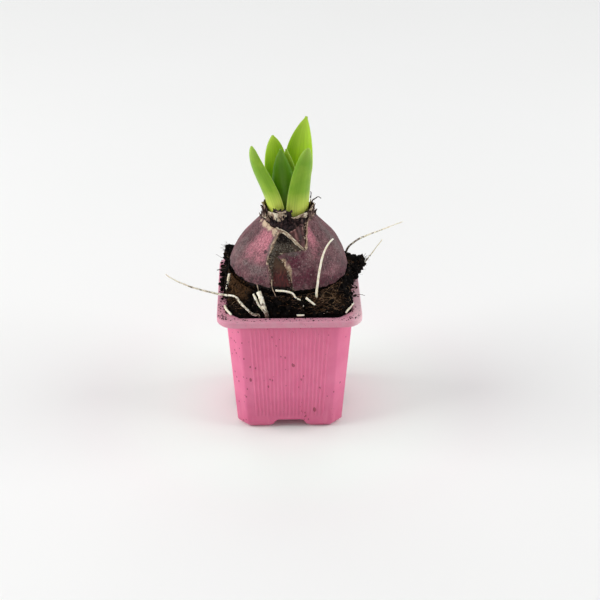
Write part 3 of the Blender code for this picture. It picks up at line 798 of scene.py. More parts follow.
# Where the soil is dry and brown: (degrees, rise, spread in degrees, spread in rise, strength).
BROWN_SOIL = (
    (213, 0.86, 25, 0.48, 0.95), (303, 0.70, 18, 0.45, 0.34), (20, 0.4, 16, 0.3, 0.3),
    (150, 0.4, 20, 0.3, 0.3),
)


def soil_tone(angle, rise):
    """How brown the soil is at a place of the mound."""
    return patches(BROWN_SOIL, math.degrees(angle), rise, 0.1, 1.2)


def soil_surface(angle, rise, raised=0.0):
    """The dressed mound's own surface, pushed in and out by lumps of several sizes."""
    outward = toward(angle, 0.8).normalized()
    edge = sin(pi * clamp(rise, 0.02, 0.98)) ** 0.35
    point = soil_point(angle, rise)
    rough = (0.62 * noise.noise(point / (3.3 * MM)) + 0.46 * noise.noise(point / (1.6 * MM))
             + 0.30 * noise.noise(point / (0.75 * MM)) - 0.10)
    return point + outward * (rough * (SOIL_RELIEF * edge)) + outward * raised


def make_soil_mound(material):
    angles = turns(SOIL_TURNS)
    levels = [step / SOIL_LEVELS for step in range(SOIL_LEVELS + 1)]
    rings = [[BULB_CENTRE + toward(angle) * wall_reach(angle, height)
              + Vector((0.0, 0.0, height)) for angle in angles] for height in SOIL_DEEP]
    rings += [[soil_surface(angle, level) for angle in angles] for level in levels]
    buried = [soil_contact(angle) - 2.5 * MM for angle in angles]
    rings.append([ring_point(bulb_radius(height) - 1.5 * MM, angle, height)
                  for angle, height in zip(angles, buried)])
    vertices, faces = loft(rings, Vector((0, 0, SOIL_DEEP[0])),
                           BULB_CENTRE + Vector((0, 0, 60 * MM)))
    tone = [0.0] * len(SOIL_DEEP) * SOIL_TURNS
    tone += [soil_tone(angle, level) for level in levels for angle in angles]
    tone += [0.0] * (len(vertices) - len(tone))
    make_piece("soil_mound", vertices, faces, material, ("soil",), {"tone": tone})


def ball(subdivisions):
    """Corners and faces of a round body made of triangles."""
    surface = bmesh.new()
    bmesh.ops.create_icosphere(surface, subdivisions=subdivisions, radius=1.0)
    corners = [corner.co.copy() for corner in surface.verts]
    faces = [tuple(corner.index for corner in face.verts) for face in surface.faces]
    surface.free()
    return corners, faces


CRUMB, LUMP = ball(1), ball(2)
CRUMBS, LUMPS, HEM_CRUMBS = 3600, 420, 1500
RIM_CRUMBS = 1150
FIBRES = 460


def make_crumbs(material):
    """Crumbs and lumps strewn over the mound, heaped on its clods and under the bulb's hem."""
    batch = Batch(11)
    chance, between = batch.chance, batch.chance.uniform
    for _ in range(CRUMBS):
        angle = between(0, FULL_TURN)
        rise = between(0.12, 0.99)
        size = 0.26 * MM + 0.75 * MM * chance.random() ** 2.4
        centre = soil_surface(angle, rise, 0.1 * size)
        batch.crumb(centre, size, clamp(soil_tone(angle, rise) + 0.5 * chance.random() ** 4))
    for _ in range(LUMPS):
        angle = between(0, FULL_TURN)
        rise = between(0.15, 0.97)
        size = between(0.7, 1.6) * MM
        batch.crumb(soil_surface(angle, rise, -0.25 * size), size,
                    0.8 * soil_tone(angle, rise), 0.9, LUMP)
    for place, spread, lift, _ in SOIL_CLODS:
        for _ in range(int(26 * lift)):
            angle = radians(place + chance.gauss(0, 0.45 * spread))
            rise = clamp(chance.gauss(0.34, 0.1), 0.2, 0.9)
            size = 0.6 * MM + 1.3 * MM * chance.random() ** 2
            batch.crumb(soil_surface(angle, rise, -0.1 * size), size,
                        0.35 * chance.random() ** 3, 0.9, LUMP)
    for _ in range(HEM_CRUMBS):
        angle = between(0, FULL_TURN)
        height = (soil_contact(angle) + (4.2 * chance.random() ** 2 - 0.5) * MM) / MM
        batch.crumb(bulb_point(math.degrees(angle) + 90, height, between(-0.9, 0.3)),
                    between(0.2, 0.6) * MM,
                    chance.random() * (0.15 + 0.9 * soil_tone(angle, 1.0)))
    return batch.piece("soil_crumbs", material, "soil", flat=True)


# Soil heaped over the rim: (number of lumps, middle in mm, spread in mm).
RIM_SPILLS = ((90, (-32.2, 13.0, 66.5), (1.0, 6.0, 0.6)),
              (60, (-31.9, 1.0, 66.2), (1.0, 7.0, 0.3)),
              (20, (32.2, 4.0, 66.2), (0.6, 6.0, 0.4)))


def make_rim_crumbs(material):
    """Grains of soil left on the rim and on the flange, most of them on its left."""
    batch = Batch(23)
    chance, between = batch.chance, batch.chance.uniform
    inner = body_half(BODY_TOP) - WALL + 0.6 * MM
    for _ in range(RIM_CRUMBS):
        side = chance.choices(range(4), (5, 2, 1.4, 2.2))[0]
        along = between(-1, 1) * (RIM_HALF - 3 * MM)
        reach = inner + (RIM_HALF - 0.6 * MM - inner) * chance.random() ** 2.2
        across, depth = ((-reach, along), (along, -reach), (reach, along), (along, reach))[side]
        if abs(across) + abs(depth) > 2 * RIM_HALF - 0.72 * RIM_CORNER:
            continue
        size = 0.10 * MM + 0.36 * MM * chance.random() ** 3
        centre = Vector((across, depth, POT_HEIGHT + 0.25 * size))
        batch.crumb(centre, size, 0.4 * chance.random())
    for count, middle, spread in RIM_SPILLS:
        for _ in range(count):
            centre = Vector([chance.gauss(place, reach) * MM
                             for place, reach in zip(middle, spread)])
            centre.x = max(centre.x, 0.8 * MM - RIM_HALF)
            centre.z = max(centre.z, POT_HEIGHT + 0.1 * MM)
            batch.crumb(centre, between(0.2, 1.1) * MM, 0.3 * chance.random(), 0.8, LUMP)
    return batch.piece("rim_crumbs", material, "soil", flat=True)


def fibre_material():
    return toned_material("dry_fibre", ((0.0, 20, 13, 10), (0.5, 104, 68, 40),
                                        (1.0, 190, 160, 118)),
                          (0.4, 0.7, 0.6, 1.2, 3.0), (40, 26, 18), 0.4, 0.5, Roughness=0.75)


# Single fibres that stand clear of the soil:
# (first and last radius, sides, tone, roughness, steps, points), in mm.
LOOSE_FIBRES = (
    (0.18, 0.108, 5, 0.12, 0.3, 6, ((26.7, -14.4, 68), (29.7, -13.7, 68.2), (31.9, -13.5, 68),
                                    (34.6, -12.6, 68.1), (37.0, -12.9, 67.6))),
    (0.13, 0.078, 5, 0.35, 0.3, 6, ((24, -14, 68.4), (29, -12, 69.2), (33.5, -9, 69.6))),
    (0.42, 0.252, 5, 0.05, 0.3, 6, ((-28, 15, 68), (-32, 15.5, 68.2), (-36.0, 16.4, 67))),
    (0.12, 0.072, 5, 0.20, 0.3, 6, ((-29, 20, 70.0), (-33.5, 21.5, 71.4), (-36.5, 22, 73.2))),
    (0.30, 0.18, 5, 0.10, 0.3, 6, ((-29, 15, 73.0), (-30.4, 16, 75.6), (-31.4, 16.8, 77.6))),
)


def make_soil_fibres(material):
    """Thin broken root fibres in the soil, brown and mostly lying flat."""
    batch = Batch(31)
    chance, between = batch.chance, batch.chance.uniform
    steps = 6
    for _ in range(FIBRES):
        angle = between(0, FULL_TURN)
        dry = chance.random() < 0.35
        if dry:
            angle = radians(chance.gauss(303, 15))
        rise = between(0.22, 0.98)
        length = between(2.0, 11.0 if dry else 7.5) * MM
        swing, climb = between(-0.22, 0.22), between(-0.5, 0.5)
        lift = between(0.1, 0.7) * MM
        route = []
        for share in (step / steps for step in range(steps + 1)):
            spot = soil_surface(angle + swing * share * length / (6 * MM),
                                clamp(rise + climb * share * length / (14 * MM), 0.16, 1.0),
                                lift * sin(pi * share) + 0.05 * MM)
            across, along, up = (chance.gauss(0, 0.1) for _ in range(3))
            route.append(spot + at(across, along, abs(up)))
        thick = between(0.05, 0.15) * MM
        tone = between(0.2, 0.75) if dry else 0.9 * chance.random() ** 2.5
        batch.tube(route, thick, 0.6 * thick, 4, tone)
    for place, spread, lift, _ in SOIL_CLODS[:4]:
        for _ in range(int(8 * lift)):
            angle = radians(place + chance.gauss(0, 0.4 * spread))
            start = soil_surface(angle, between(0.26, 0.5), -0.3 * MM)
            heading = toward(angle, between(-0.4, 1.2))
            thick = between(0.05, 0.11) * MM
            batch.tube(batch.wander(start, heading, between(1.5, 5.0) * MM, 6, 0.25),
                       thick, 0.5 * thick, 4, 0.4 * chance.random())
    batch.strands(LOOSE_FIBRES)
    batch.piece("soil_fibres", material, "soil")


# ---- the bulb

TUNIC_COLUMNS = 300
BORDER_REACH = 0.2
FRAYS_PER_BORDER = 170
TUNIC_TOP = 107.2
TUNIC_THICKNESS = 0.22 * MM
# The torn borders of the outer skin from its hem upwards: degrees from the front, height in
# mm, and the share of the skin's rows that lies below each point.
LEFT_BORDER = (
    (-19, 79.6, 0.0), (-18, 83.5, 0.15), (-19, 86, 0.25), (-20.5, 88.5, 0.35), (-24, 91, 0.44),
    (-25, 93, 0.51), (-23.5, 95, 0.57), (-22, 97, 0.64), (-20.5, 99, 0.72), (-18.5, 101, 0.80),
    (-17, 102.2, 0.88), (-15.5, 103.4, 1.0),
)
RIGHT_BORDER = (
    (4, 78.6, 0.0), (3.5, 80, 0.04), (2, 84, 0.16), (0, 87.2, 0.27), (-3.5, 89.6, 0.34),
    (-8, 91.8, 0.42), (-13.5, 93.8, 0.48), (-6, 95.0, 0.53), (8, 95.6, 0.59), (20, 95.2, 0.65),
    (22.5, 97, 0.70), (27, 99, 0.77), (31, 101.5, 0.85), (35, 103.4, 0.92), (40, 105, 0.96),
    (48, 106.4, 1.0),
)
# (share of the rows below, share above, number of rows) for the bands of the skin.
TUNIC_BANDS = ((0.0, 0.43, 46), (0.43, 0.67, 44), (0.67, 1.0, 40))
# Height of the skin's lower hem by direction, in degrees and mm.
TUNIC_HEM = (
    (-130, 78.5), (-90, 80.6), (-77, 80.6), (-60, 80.0), (-44, 79.5), (-19, 79.6), (4, 78.6),
    (22, 78.4), (40, 77.4), (63, 77.6), (76, 79.6), (100, 79.6), (130, 78.5),
)
# Patches of colour on the skin: (degrees, mm, spread in degrees, spread in mm, strength).
PINK_PATCHES = (
    (-38, 98, 24, 8, 1.0), (-52, 94, 15, 7, 0.6), (-36, 91, 12, 5, 0.55), (37, 100, 12, 7, 0.8),
    (34, 95, 8, 5, 0.35), (46, 84, 14, 5, 0.22), (128, 95, 32, 10, 0.45),
    (200, 90, 50, 12, 0.45), (250, 97, 24, 9, 0.35),
)
# Grey patches: those at -74 and 76 degrees, on the bulb's two sides, are painted sheen from the
# side lights; the others are the skin's own silvery grey.
GREY_AND_SHEEN_PATCHES = (
    (-36, 86.5, 20, 5, 0.75), (-52, 87.5, 9, 3, 0.7), (-74, 92, 18, 15, 0.65),
    (76, 95, 18, 15, 0.8), (41, 89, 7, 3.5, 0.5), (-25, 96.5, 7, 6.5, 1.1),
    (5, 94.6, 13, 1.6, 1.0), (62, 88, 14, 8, 0.4), (150, 86, 30, 8, 0.6), (230, 88, 26, 9, 0.6),
)
DARK_PATCHES = (
    (6, 91.5, 11, 3.6, 1.0), (19, 85, 13, 5, 0.85), (31, 81, 22, 4, 0.7),
    (-27, 81.5, 14, 2.5, 0.45), (8, 83, 9, 5, 0.7), (62, 80, 20, 4, 0.6),
    (48, 79.5, 24, 3.2, 0.75), (17, 93.5, 6, 2.5, 0.6), (170, 80, 60, 5, 0.6),
    (300, 81, 30, 4, 0.4),
)
SKIN_SPOTS = (
    (-31, 94.4, 3.8, 1.5, 1.0), (-24, 84.6, 2.4, 1.0, 0.9), (47, 100.5, 3.0, 1.2, 0.8),
    (48, 80.9, 2.4, 0.9, 0.8), (-72, 82, 4, 1.5, 0.9), (84, 100.6, 3, 1.2, 0.8),
    (140, 97, 3, 1.5, 0.8), (250, 90, 3, 1.4, 0.8), (190, 100, 3, 1.4, 0.7),
)
CREAM_PATCHES = (
    (-73, 104.4, 11, 1.9, 0.7), (-56, 104.2, 14, 2.6, 1.0), (-40, 103.8, 14, 3.0, 1.0),
    (-27, 102.6, 10, 3.0, 1.0), (-19, 101.2, 6, 2.6, 0.9), (-22.5, 97, 5, 5, 1.15),
    (-24, 91.5, 4, 3.5, 0.85), (-0.5, 88, 4.2, 4.6, 1.0), (-7, 91.2, 6, 2.8, 1.0),
    (23.6, 97.6, 3.4, 2.6, 1.5), (28.0, 100, 3.6, 2.6, 1.5), (32.6, 102.6, 3.8, 2.2, 1.4),
    (40, 104.9, 5, 1.6, 0.9),
)
# Shreds that hang over the soil:
# (first and last radius, sides, tone, roughness, steps, points), in mm.
HANGING_SHREDS = (
    (0.325, 0.13, 6, 0.62, 0.5, 6, ((-8.4, -26.4, 84.2), (-8.4, -27.6, 82.2), (-8.1, -29.0, 80.6),
                                    (-7.2, -30.4, 78.9), (-6.4, -31.0, 77.2))),
    (0.25, 0.1, 6, 0.65, 0.5, 6, ((-15.5, -23.2, 80.2), (-15.0, -24.6, 78.6), (-14.8, -26, 77.4))),
)
# Where the torn border has no pale edge.
BARE_EDGES = (
    (-19.5, 85, 5, 7, 0.35), (3, 80.5, 4, 3, 0.5), (5, 95.2, 13, 1.8, 1.0),
    (-11, 94, 6, 1.4, 1.0), (-24, 92, 4, 3.5, 0.8), (-19, 82, 4, 3, 0.6),
)


def turned(degrees):
    """The same direction between -180 and 180 degrees."""
    return (degrees + 180) % 360 - 180


def patches(table, degrees, height, full=0.15, gone=1.15):
    """The strongest of a table's round patches at a place, which fade between two shares."""
    tone = 0.0
    for place, level, spread, rise, strength in table:
        away = hypot(turned(degrees - place) / spread, (height - level) / rise)
        tone = max(tone, strength * (1 - smooth(away, full, gone)))
    return tone


def along_border(border, share):
    for low, high in zip(border, border[1:]):
        if share <= high[2]:
            step = (share - low[2]) / (high[2] - low[2])
            return blend(low[0], high[0], step), blend(low[1], high[1], step)
    return border[-1][:2]


def around(table, degrees):
    """A value given at a few directions round the bulb, smoothly joined."""
    place = turned(degrees)
    for (low, first), (high, second) in zip(table, table[1:]):
        if low <= place <= high:
            return blend(first, second, smooth(place, low, high))
    (low, first), (high, second) = table[-1], table[0]
    return blend(first, second, smooth((place - low) % 360, 0.0, (high - low) % 360))


def ring_noise(degrees, height, across, along, seed):
    """Noise on the surface of the neck or bulb, with so many lumps across a turn."""
    turn = radians(degrees)
    return bumps(sin(turn) * across + seed, cos(turn) * across, height / along)


def skin_relief(degrees, height):
    """Lengthwise wrinkles and shallow dents of the papery skin, in mm."""
    gather = smooth(height, 84.0, 103.0)
    return (0.34 * ring_noise(degrees, height, 5, 14, 0)
            + (0.10 + 0.24 * gather) * ring_noise(degrees, height, 15, 16, 3)
            + 0.07 * ring_noise(degrees, height, 40, 6, 5)
            + 0.05 * ring_noise(degrees, height, 70, 2, 9))


def tunic_edge(degrees):
    """How far the skin's top edge stands above or below its plain level, in mm."""
    edge = around(((-75, -0.7), (-60, -1.6), (-45, -1.4), (-30, -2.0), (-15.5, -3.8), (48, -0.8),
                   (55, 0.2), (65, 0.6), (80, 0.6), (120, 0.4), (180, 0.9), (240, 0.2)), degrees)
    return edge + 0.5 * ring_noise(degrees, 0, 22, 1, 2)


def tunic_places():
    """(degrees, mm) of every point of the skin, row by row from the hem to the top edge."""
    shares = [0.0]
    for low, high, count in TUNIC_BANDS:
        shares.extend(blend(low, high, (step + 1) / count) for step in range(count))
    start_right, start_left = RIGHT_BORDER[0][0], LEFT_BORDER[0][0] + 360
    places = []
    for share in shares:
        right_turn, right_height = along_border(RIGHT_BORDER, share)
        left_turn, left_height = along_border(LEFT_BORDER, share)
        for column in range(TUNIC_COLUMNS + 1):
            across = column / TUNIC_COLUMNS
            near_right = 1 - smooth(across, 0.0, BORDER_REACH)
            near_left = smooth(across, 1.0 - BORDER_REACH, 1.0)
            degrees = (blend(start_right, start_left, across)
                       + (right_turn - start_right) * near_right
                       + (left_turn + 360 - start_left) * near_left)
            plain = (blend(around(TUNIC_HEM, degrees), TUNIC_TOP, share)
                     + tunic_edge(degrees) * smooth(share, 0.6, 1.0) * (1 - near_left)
                     * (1 - near_right))
            height = (plain + (right_height - plain) * near_right
                      + (left_height - plain) * near_left)
            rim = max(bump_at(across, 0.0, 0.014), bump_at(across, 1.0, 0.014))
            ends = max(smooth(share, 0.985, 1.0), 1 - smooth(share, 0.0, 0.02))
            side = 7.0 * (across > 0.5)
            ragged = (0.9 * bumps(height / 2.8, side + 5, 0.0)
                      + 0.7 * bumps(height / 1.1, side, degrees / 5)
                      + 0.5 * bumps(height / 0.5, side + 9, degrees / 2))
            torn = max(rim, ends, 1.9 * (1 - smooth(share, 0.0, 0.02)))
            places.append((degrees + 1.7 * ragged * rim, height + 0.45 * ragged * torn))
    return len(shares), places


def make_tunic(material):
    """The papery outer skin, torn open at the front."""
    rows, places = tunic_places()
    columns = TUNIC_COLUMNS + 1
    border = [row * columns for row in range(rows)] + [(rows - 1) * columns + column
                                                       for column in range(columns)]
    border += [row * columns + columns - 1 for row in range(rows)]
    near = kdtree.KDTree(len(border))
    for index in border:
        near.insert(bulb_point(*places[index]), index)
    near.balance()
    tables = {"pink": PINK_PATCHES, "grey": GREY_AND_SHEEN_PATCHES, "dark": DARK_PATCHES,
              "spot": SKIN_SPOTS, "cream": CREAM_PATCHES}
    vertices, values = [], {key: [] for key in ("edge", "level", *tables)}
    for degrees, height in places:
        away = near.find(bulb_point(degrees, height))[2] / MM
        hem = height - around(TUNIC_HEM, degrees)
        curl = 0.26 * exp(-away / 0.8) + 0.16 * exp(-away / 3.5)
        flare = 0.40 * exp(-max(hem, 0.0) / 1.6) * (1 + ring_noise(degrees, 0, 9, 1, 4))
        vertices.append(bulb_point(degrees, height,
                                   0.08 + curl + flare + skin_relief(degrees, height)))
        values["edge"].append(away + 3.0 * patches(BARE_EDGES, degrees, height))
        values["level"].append(height)
        for key, table in tables.items():
            values[key].append(patches(table, degrees, height))
    return make_piece("tunic", vertices, grid_faces(rows, columns, False), material,
                      (), values, solid=TUNIC_THICKNESS)


def make_frays(material):
    """Shreds and threads of skin that hang loose from both torn borders."""
    batch = Batch(53)
    chance, between = batch.chance, batch.chance.uniform
    for border, inwards in ((LEFT_BORDER, 1), (RIGHT_BORDER, -1)):
        for _ in range(FRAYS_PER_BORDER):
            share = between(0.03, 0.97)
            degrees, height = along_border(border, share)
            turn = radians(degrees - 90)
            out = toward(turn, 0.25).normalized()
            side = Vector((-out.y, out.x, 0.0)) * inwards
            foot = bulb_point(degrees - inwards * between(0.0, 2.5), height,
                              between(-0.1, 0.35))
            heading = (side * between(0.2, 1.0) + Vector((0, 0, between(-1, 0.8)))
                       + out * between(-0.5, 0.15)).normalized()
            tone = clamp(chance.gauss(0.5, 0.22))
            if chance.random() < 0.35:
                batch.add(*scrap_mesh(between, foot, heading, out, between(0.6, 1.7) * MM,
                                      between(0.4, 1.1) * MM, 0.1), tone)
            else:
                thick = between(0.04, 0.09) * MM
                batch.tube(batch.wander(foot, heading, between(0.6, 2.2) * MM, 5, 0.3),
                           thick, 0.5 * thick, 4, tone)
    batch.strands(HANGING_SHREDS)
    return batch.piece("skin_frays", material, "bulb_skin")


def tunic_material():
    """Wine and mauve papery skin with silvery veins, spots, soil and torn pale edges."""
    graph = Graph("bulb_tunic")
    cloud, mottle = graph.noise(4.5, 6.0, 0.7), graph.noise(1.3, 6.0, 0.8)
    upright, frosted = graph.place(1.0, 1.0, 0.22), graph.place(1.0, 1.0, 0.4)
    graph.tint = graph.ramp(cloud, (0.30, 80, 46, 52), (0.50, 119, 79, 85),
                            (0.70, 152, 116, 116))

    def stain(name, low, high, most, tint, weight=1.0):
        share = graph.plus(graph.attribute(name), graph.centred(cloud, 0.6 * weight),
                           graph.centred(mottle, 1.9 * weight))
        graph.coat(graph.remap(share, low, high, 0.0, most), tint)

    stain("pink", 0.0, 1.0, 0.90, (228, 144, 159))
    stain("dark", 0.05, 0.72, 0.90, (94, 32, 52))
    # Grey stain: partly the skin's own silvery tint, partly painted sheen on the bulb's sides.
    stain("grey", 0.25, 1.0, 0.80, (124, 112, 110), 1.1)
    graph.coat(graph.blotch(0.52, 0.68, 0.45, 0.9, 6.0, 0.8, upright), (158, 132, 130))
    graph.coat(graph.blotch(0.52, 0.70, 0.55, 1.2, 5.0, 0.65, upright), (58, 30, 36))
    graph.coat(1.0, graph.ramp(graph.noise(0.8, 5.0, 0.85), (0.36, 126, 114, 120),
                               (0.51, 232, 228, 229), (0.58, 255, 255, 255)), "MULTIPLY")
    graph.coat(graph.blotch(0.54, 0.68, 0.46, 0.7, 6.0, 0.85, frosted), (206, 186, 182))
    speck = graph.below(graph.cells(2.6), 0.12)
    graph.coat(graph.times(speck, graph.blotch(0.45, 0.6, 0.7, 6.0, 1.0)), (40, 28, 32))
    stain("spot", 0.45, 0.85, 0.85, (44, 34, 38), 0.5)
    stain("cream", 0.35, 0.95, 0.92, (214, 190, 160), 0.9)
    level = graph.plus(graph.attribute("level"), graph.centred(cloud, 9.0))
    soiled = graph.blotch(0.40, 0.62, 0.7, 1.4, 5.0, 0.7)
    graph.coat(graph.times(graph.remap(level, 85.0, 78.0), soiled), (40, 28, 26))
    torn = graph.plus(graph.attribute("edge"), graph.centred(mottle, 2.4),
                      graph.centred(cloud, 2.2), graph.centred(graph.noise(5.5, 2.0), 3.2))
    paper = graph.ramp(graph.noise(0.7, 4.0, 0.7), (0.34, 84, 60, 48), (0.50, 150, 120, 96),
                       (0.66, 216, 196, 166))
    graph.coat(graph.remap(torn, 0.95, 0.25, 0.0, 0.92), paper)
    wrinkles = graph.noise(0.7, 5.0, 0.7, graph.place(1.0, 1.0, 0.3))
    return graph.finish(Roughness=graph.remap(cloud, 0.3, 0.7, 0.50, 0.75),
                        Specular_IOR_Level=0.28,
                        Normal=graph.bump(graph.noise(0.4, 3.0, 0.7), 0.09, 0.8,
                                          graph.bump(wrinkles, 0.22, 0.9)))


def flesh_material():
    """The scale inside the tear: wine red threads, brown at its edges, mould grey above, with
    painted shade in the hollow at its top and a painted shadow under the skin's hem.
    """
    graph = Graph("inner_scale")
    level = graph.axis("Z")
    streaks = graph.noise(0.8, 4.0, 0.6, graph.place(1.0, 1.0, 0.16))
    graph.tint = graph.ramp(streaks, (0.30, 30, 12, 12), (0.50, 72, 27, 28),
                            (0.66, 108, 44, 42), (0.80, 150, 96, 80))
    wavy = graph.plus(level, graph.centred(streaks, 5.0))
    graph.coat(graph.remap(wavy, 84.5, 90.5, 0.0, 0.9), (80, 58, 40))
    mould = graph.blotch(0.42, 0.62, 0.75, 1.0, 5.0, 0.75)
    graph.coat(graph.times(mould, graph.remap(level, 92.5, 95.0)), (116, 106, 96))
    # Painted shade: near black at the top of the scale, in the hollow under the leaf bases.
    graph.coat(graph.remap(level, 97.5, 99.5, 0.0, 0.9), (20, 12, 14))
    # Painted shadow: near black below the skin's hem, where the hem overhangs the soil.
    graph.coat(graph.remap(level, 80.6, 79.4, 0.0, 0.96), (12, 8, 7))
    graph.coat(graph.blotch(0.55, 0.68, 0.7, 1.1, 5.0, 0.7), (30, 19, 18))
    return graph.finish(Roughness=0.55, Specular_IOR_Level=0.3,
                        Normal=graph.bump(streaks, 0.15, 0.8))


def make_flesh(material):
    """The bulb under its skin, with the cup that the leaves stand in."""
    columns = 200
    around_axis = [360 * step / columns for step in range(columns)]
    rings = [[bulb_point(degrees, height, -0.8 + 0.25 * ring_noise(degrees, height, 6, 9, 0))
              for degrees in around_axis] for height in range(52, 106)]
    rings += [[BULB_CENTRE + at(radius * sin(turn), -radius * cos(turn), height)
               for turn in turns(columns)]
              for height, radius in ((105.6, 11.2), (105.4, 10.6), (103.0, 10.2), (100.2, 10.0))]
    vertices, faces = loft(rings, BULB_CENTRE + at(0, 0, 51.5), BULB_CENTRE + at(0, 0, 100.0))
    make_piece("bulb_flesh", vertices, faces, material, ("bulb",))


def skin_sheet(name, material, vertices, tones, columns, closed=False, solid=0.2 * MM):
    """A sheet of skin from its points, row by row, with a thickness."""
    faces = grid_faces(len(vertices) // columns, columns, closed)
    make_piece(name, vertices, faces, material, (), {"tone": tones}, solid=solid)


def papery_material():
    """Dead papery scales round the neck: near black through wine brown to cream."""
    graph = Graph("dry_scales")
    veins = graph.noise(0.6, 4.0, 0.65, graph.place(1.0, 1.0, 0.25))
    share = graph.plus(graph.attribute("tone"), graph.centred(veins, 0.8),
                       graph.centred(graph.noise(1.4, 5.0, 0.75), 0.8))
    graph.tint = graph.ramp(share, (0.02, 12, 7, 8), (0.25, 48, 27, 29), (0.48, 104, 78, 70),
                            (0.70, 172, 150, 126), (0.95, 226, 216, 192))
    return graph.finish(Roughness=0.66, Specular_IOR_Level=0.3,
                        Normal=graph.bump(veins, 0.12, 0.7))


def make_collar(name, material, foot, top, lift, seed, tone, jag, lean, span):
    """A ragged ring of dead scale round the neck; foot and top are heights by direction."""
    first, last = span or (0.0, 360.0)
    columns, rows = max(int((last - first) * 0.9), 24), 18
    across = [step / columns for step in range(columns + bool(span))]
    vertices, tones = [], []
    for row, column in itertools.product(range(rows + 1), across):
        share, degrees = row / rows, blend(first, last, column)
        peak = around(top, degrees) + jag * (ring_noise(degrees, 0, 4, 1, seed)
                                             + 0.7 * ring_noise(degrees, 1, 11, 1, seed)
                                             + 0.6 * ring_noise(degrees, 2, 27, 1, seed))
        bottom = around(foot, degrees)
        height = blend(bottom, max(peak, bottom + 0.3), share)
        wave = ring_noise(degrees, height, 6, 5, seed)
        fine = ring_noise(degrees, height, 19, 7, seed)
        reach = (lift + lean * share + 0.30 * wave * share + 0.16 * fine
                 + 0.9 * share ** 3 * max(wave, -0.2) * (jag > 0.5))
        vertices.append(bulb_point(degrees, height, reach))
        tones.append(clamp(tone + 0.30 * wave + 0.2 * fine + 0.15 * share))
    skin_sheet(name, material, vertices, tones, len(across), span is None, 0.25 * MM)


def scrap_mesh(between, foot, up, out, length, width, curl):
    """One torn strip: a narrow sheet that narrows to a ragged end, with thickness."""
    side = up.cross(out).normalized()
    rows, columns = 6, 4
    front, back = [], []
    lean = between(-0.25, 0.25)
    for row in range(rows + 1):
        share = row / rows
        half = 0.5 * width * (1 - 0.75 * share ** 1.6) * between(0.85, 1.1)
        centre = foot + up * (length * share) + side * (lean * length * share)
        centre += out * (curl * share * share * length)
        for column in range(columns + 1):
            across = 2 * column / columns - 1
            spot = (centre + side * (across * half) - out * (0.35 * half * across * across)
                    + up * (between(-0.12, 0.12) * length * share))
            front.append(spot + out * 0.09 * MM)
            back.append(spot - out * 0.09 * MM)
    count = len(front)
    faces = grid_faces(rows + 1, columns + 1, False)
    faces += [tuple(count + index for index in reversed(face)) for face in list(faces)]
    border = list(range(columns + 1))
    border += [row * (columns + 1) + columns for row in range(1, rows + 1)]
    border += [rows * (columns + 1) + column for column in range(columns - 1, -1, -1)]
    border += [row * (columns + 1) for row in range(rows - 1, 0, -1)]
    for index, first in enumerate(border):
        second = border[(index + 1) % len(border)]
        faces.append((second, first, count + first, count + second))
    return front + back, faces


# Zones of loose shreds: (number, degrees from, to, mm from, to, lift from, to, length from,
# to, tone from, to, outward lean).
SCRAP_ZONES = (
    (26, -88, -52, 106.5, 109.5, -0.2, 0.7, 1.4, 3.0, 0.05, 0.60, 0.35),
    (16, -72, -50, 105.0, 107.4, 0.0, 0.7, 0.8, 2.0, 0.30, 0.95, 0.30),
    (34, 46, 90, 105.8, 109.5, -0.4, 0.3, 1.4, 3.2, 0.02, 0.45, 0.20),
    (70, 90, 272, 104.0, 108.0, -0.3, 0.6, 1.4, 3.4, 0.05, 0.75, 0.20),
    (40, -40, 34, 103.6, 107.0, -0.7, 0.0, 1.2, 3.0, 0.00, 0.28, 0.10),
    (22, -34, 30, 106.0, 108.6, -0.5, 0.1, 1.0, 2.4, 0.00, 0.35, 0.10),
    (26, -38, 6, 109.6, 112.2, -0.6, -0.1, 0.8, 1.9, 0.00, 0.22, 0.05),
    (14, 30, 62, 107.4, 109.6, -0.2, 0.3, 0.8, 2.0, 0.05, 0.5, 0.15),
)

# Shreds that stand up beside the leaves, laid out as the hanging ones are.
NECK_SHREDS = (
    (0.42, 0.16, 6, 0.30, 0.5, 5, ((11.0, 0, 110.5), (11.6, 0, 113.0), (13.2, 0, 114.3),
                                   (14.4, 0, 115.0), (15.7, 0, 114.1))),
    (0.32, 0.18, 6, 0.25, 0.4, 4, ((10.6, 0, 114.4), (10.9, 0, 116.6), (10.7, 0, 117.9))),
)


def make_neck_scraps(material):
    """Loose shreds of dead scale that stand and hang round the neck."""
    batch = Batch(47)
    between = batch.chance.uniform
    for (count, from_turn, to_turn, low, high, in_lift, out_lift, short, long, dim, pale,
         lean) in SCRAP_ZONES:
        for _ in range(count):
            degrees = between(from_turn, to_turn)
            out = toward(radians(degrees - 90))
            side = Vector((-out.y, out.x, 0.0))
            foot = bulb_point(degrees, between(low, high), between(in_lift, out_lift))
            up = (Vector((0, 0, between(0.5, 1.0))) + out * between(0, lean)
                  + side * between(-0.7, 0.7)).normalized()
            batch.add(*scrap_mesh(between, foot, up, out, between(short, long) * MM,
                                  between(0.6, 1.8) * MM, between(-0.1, 0.35)),
                      between(dim, pale))
    batch.strands(NECK_SHREDS)
    batch.piece("neck_scraps", material, "bulb_skin")


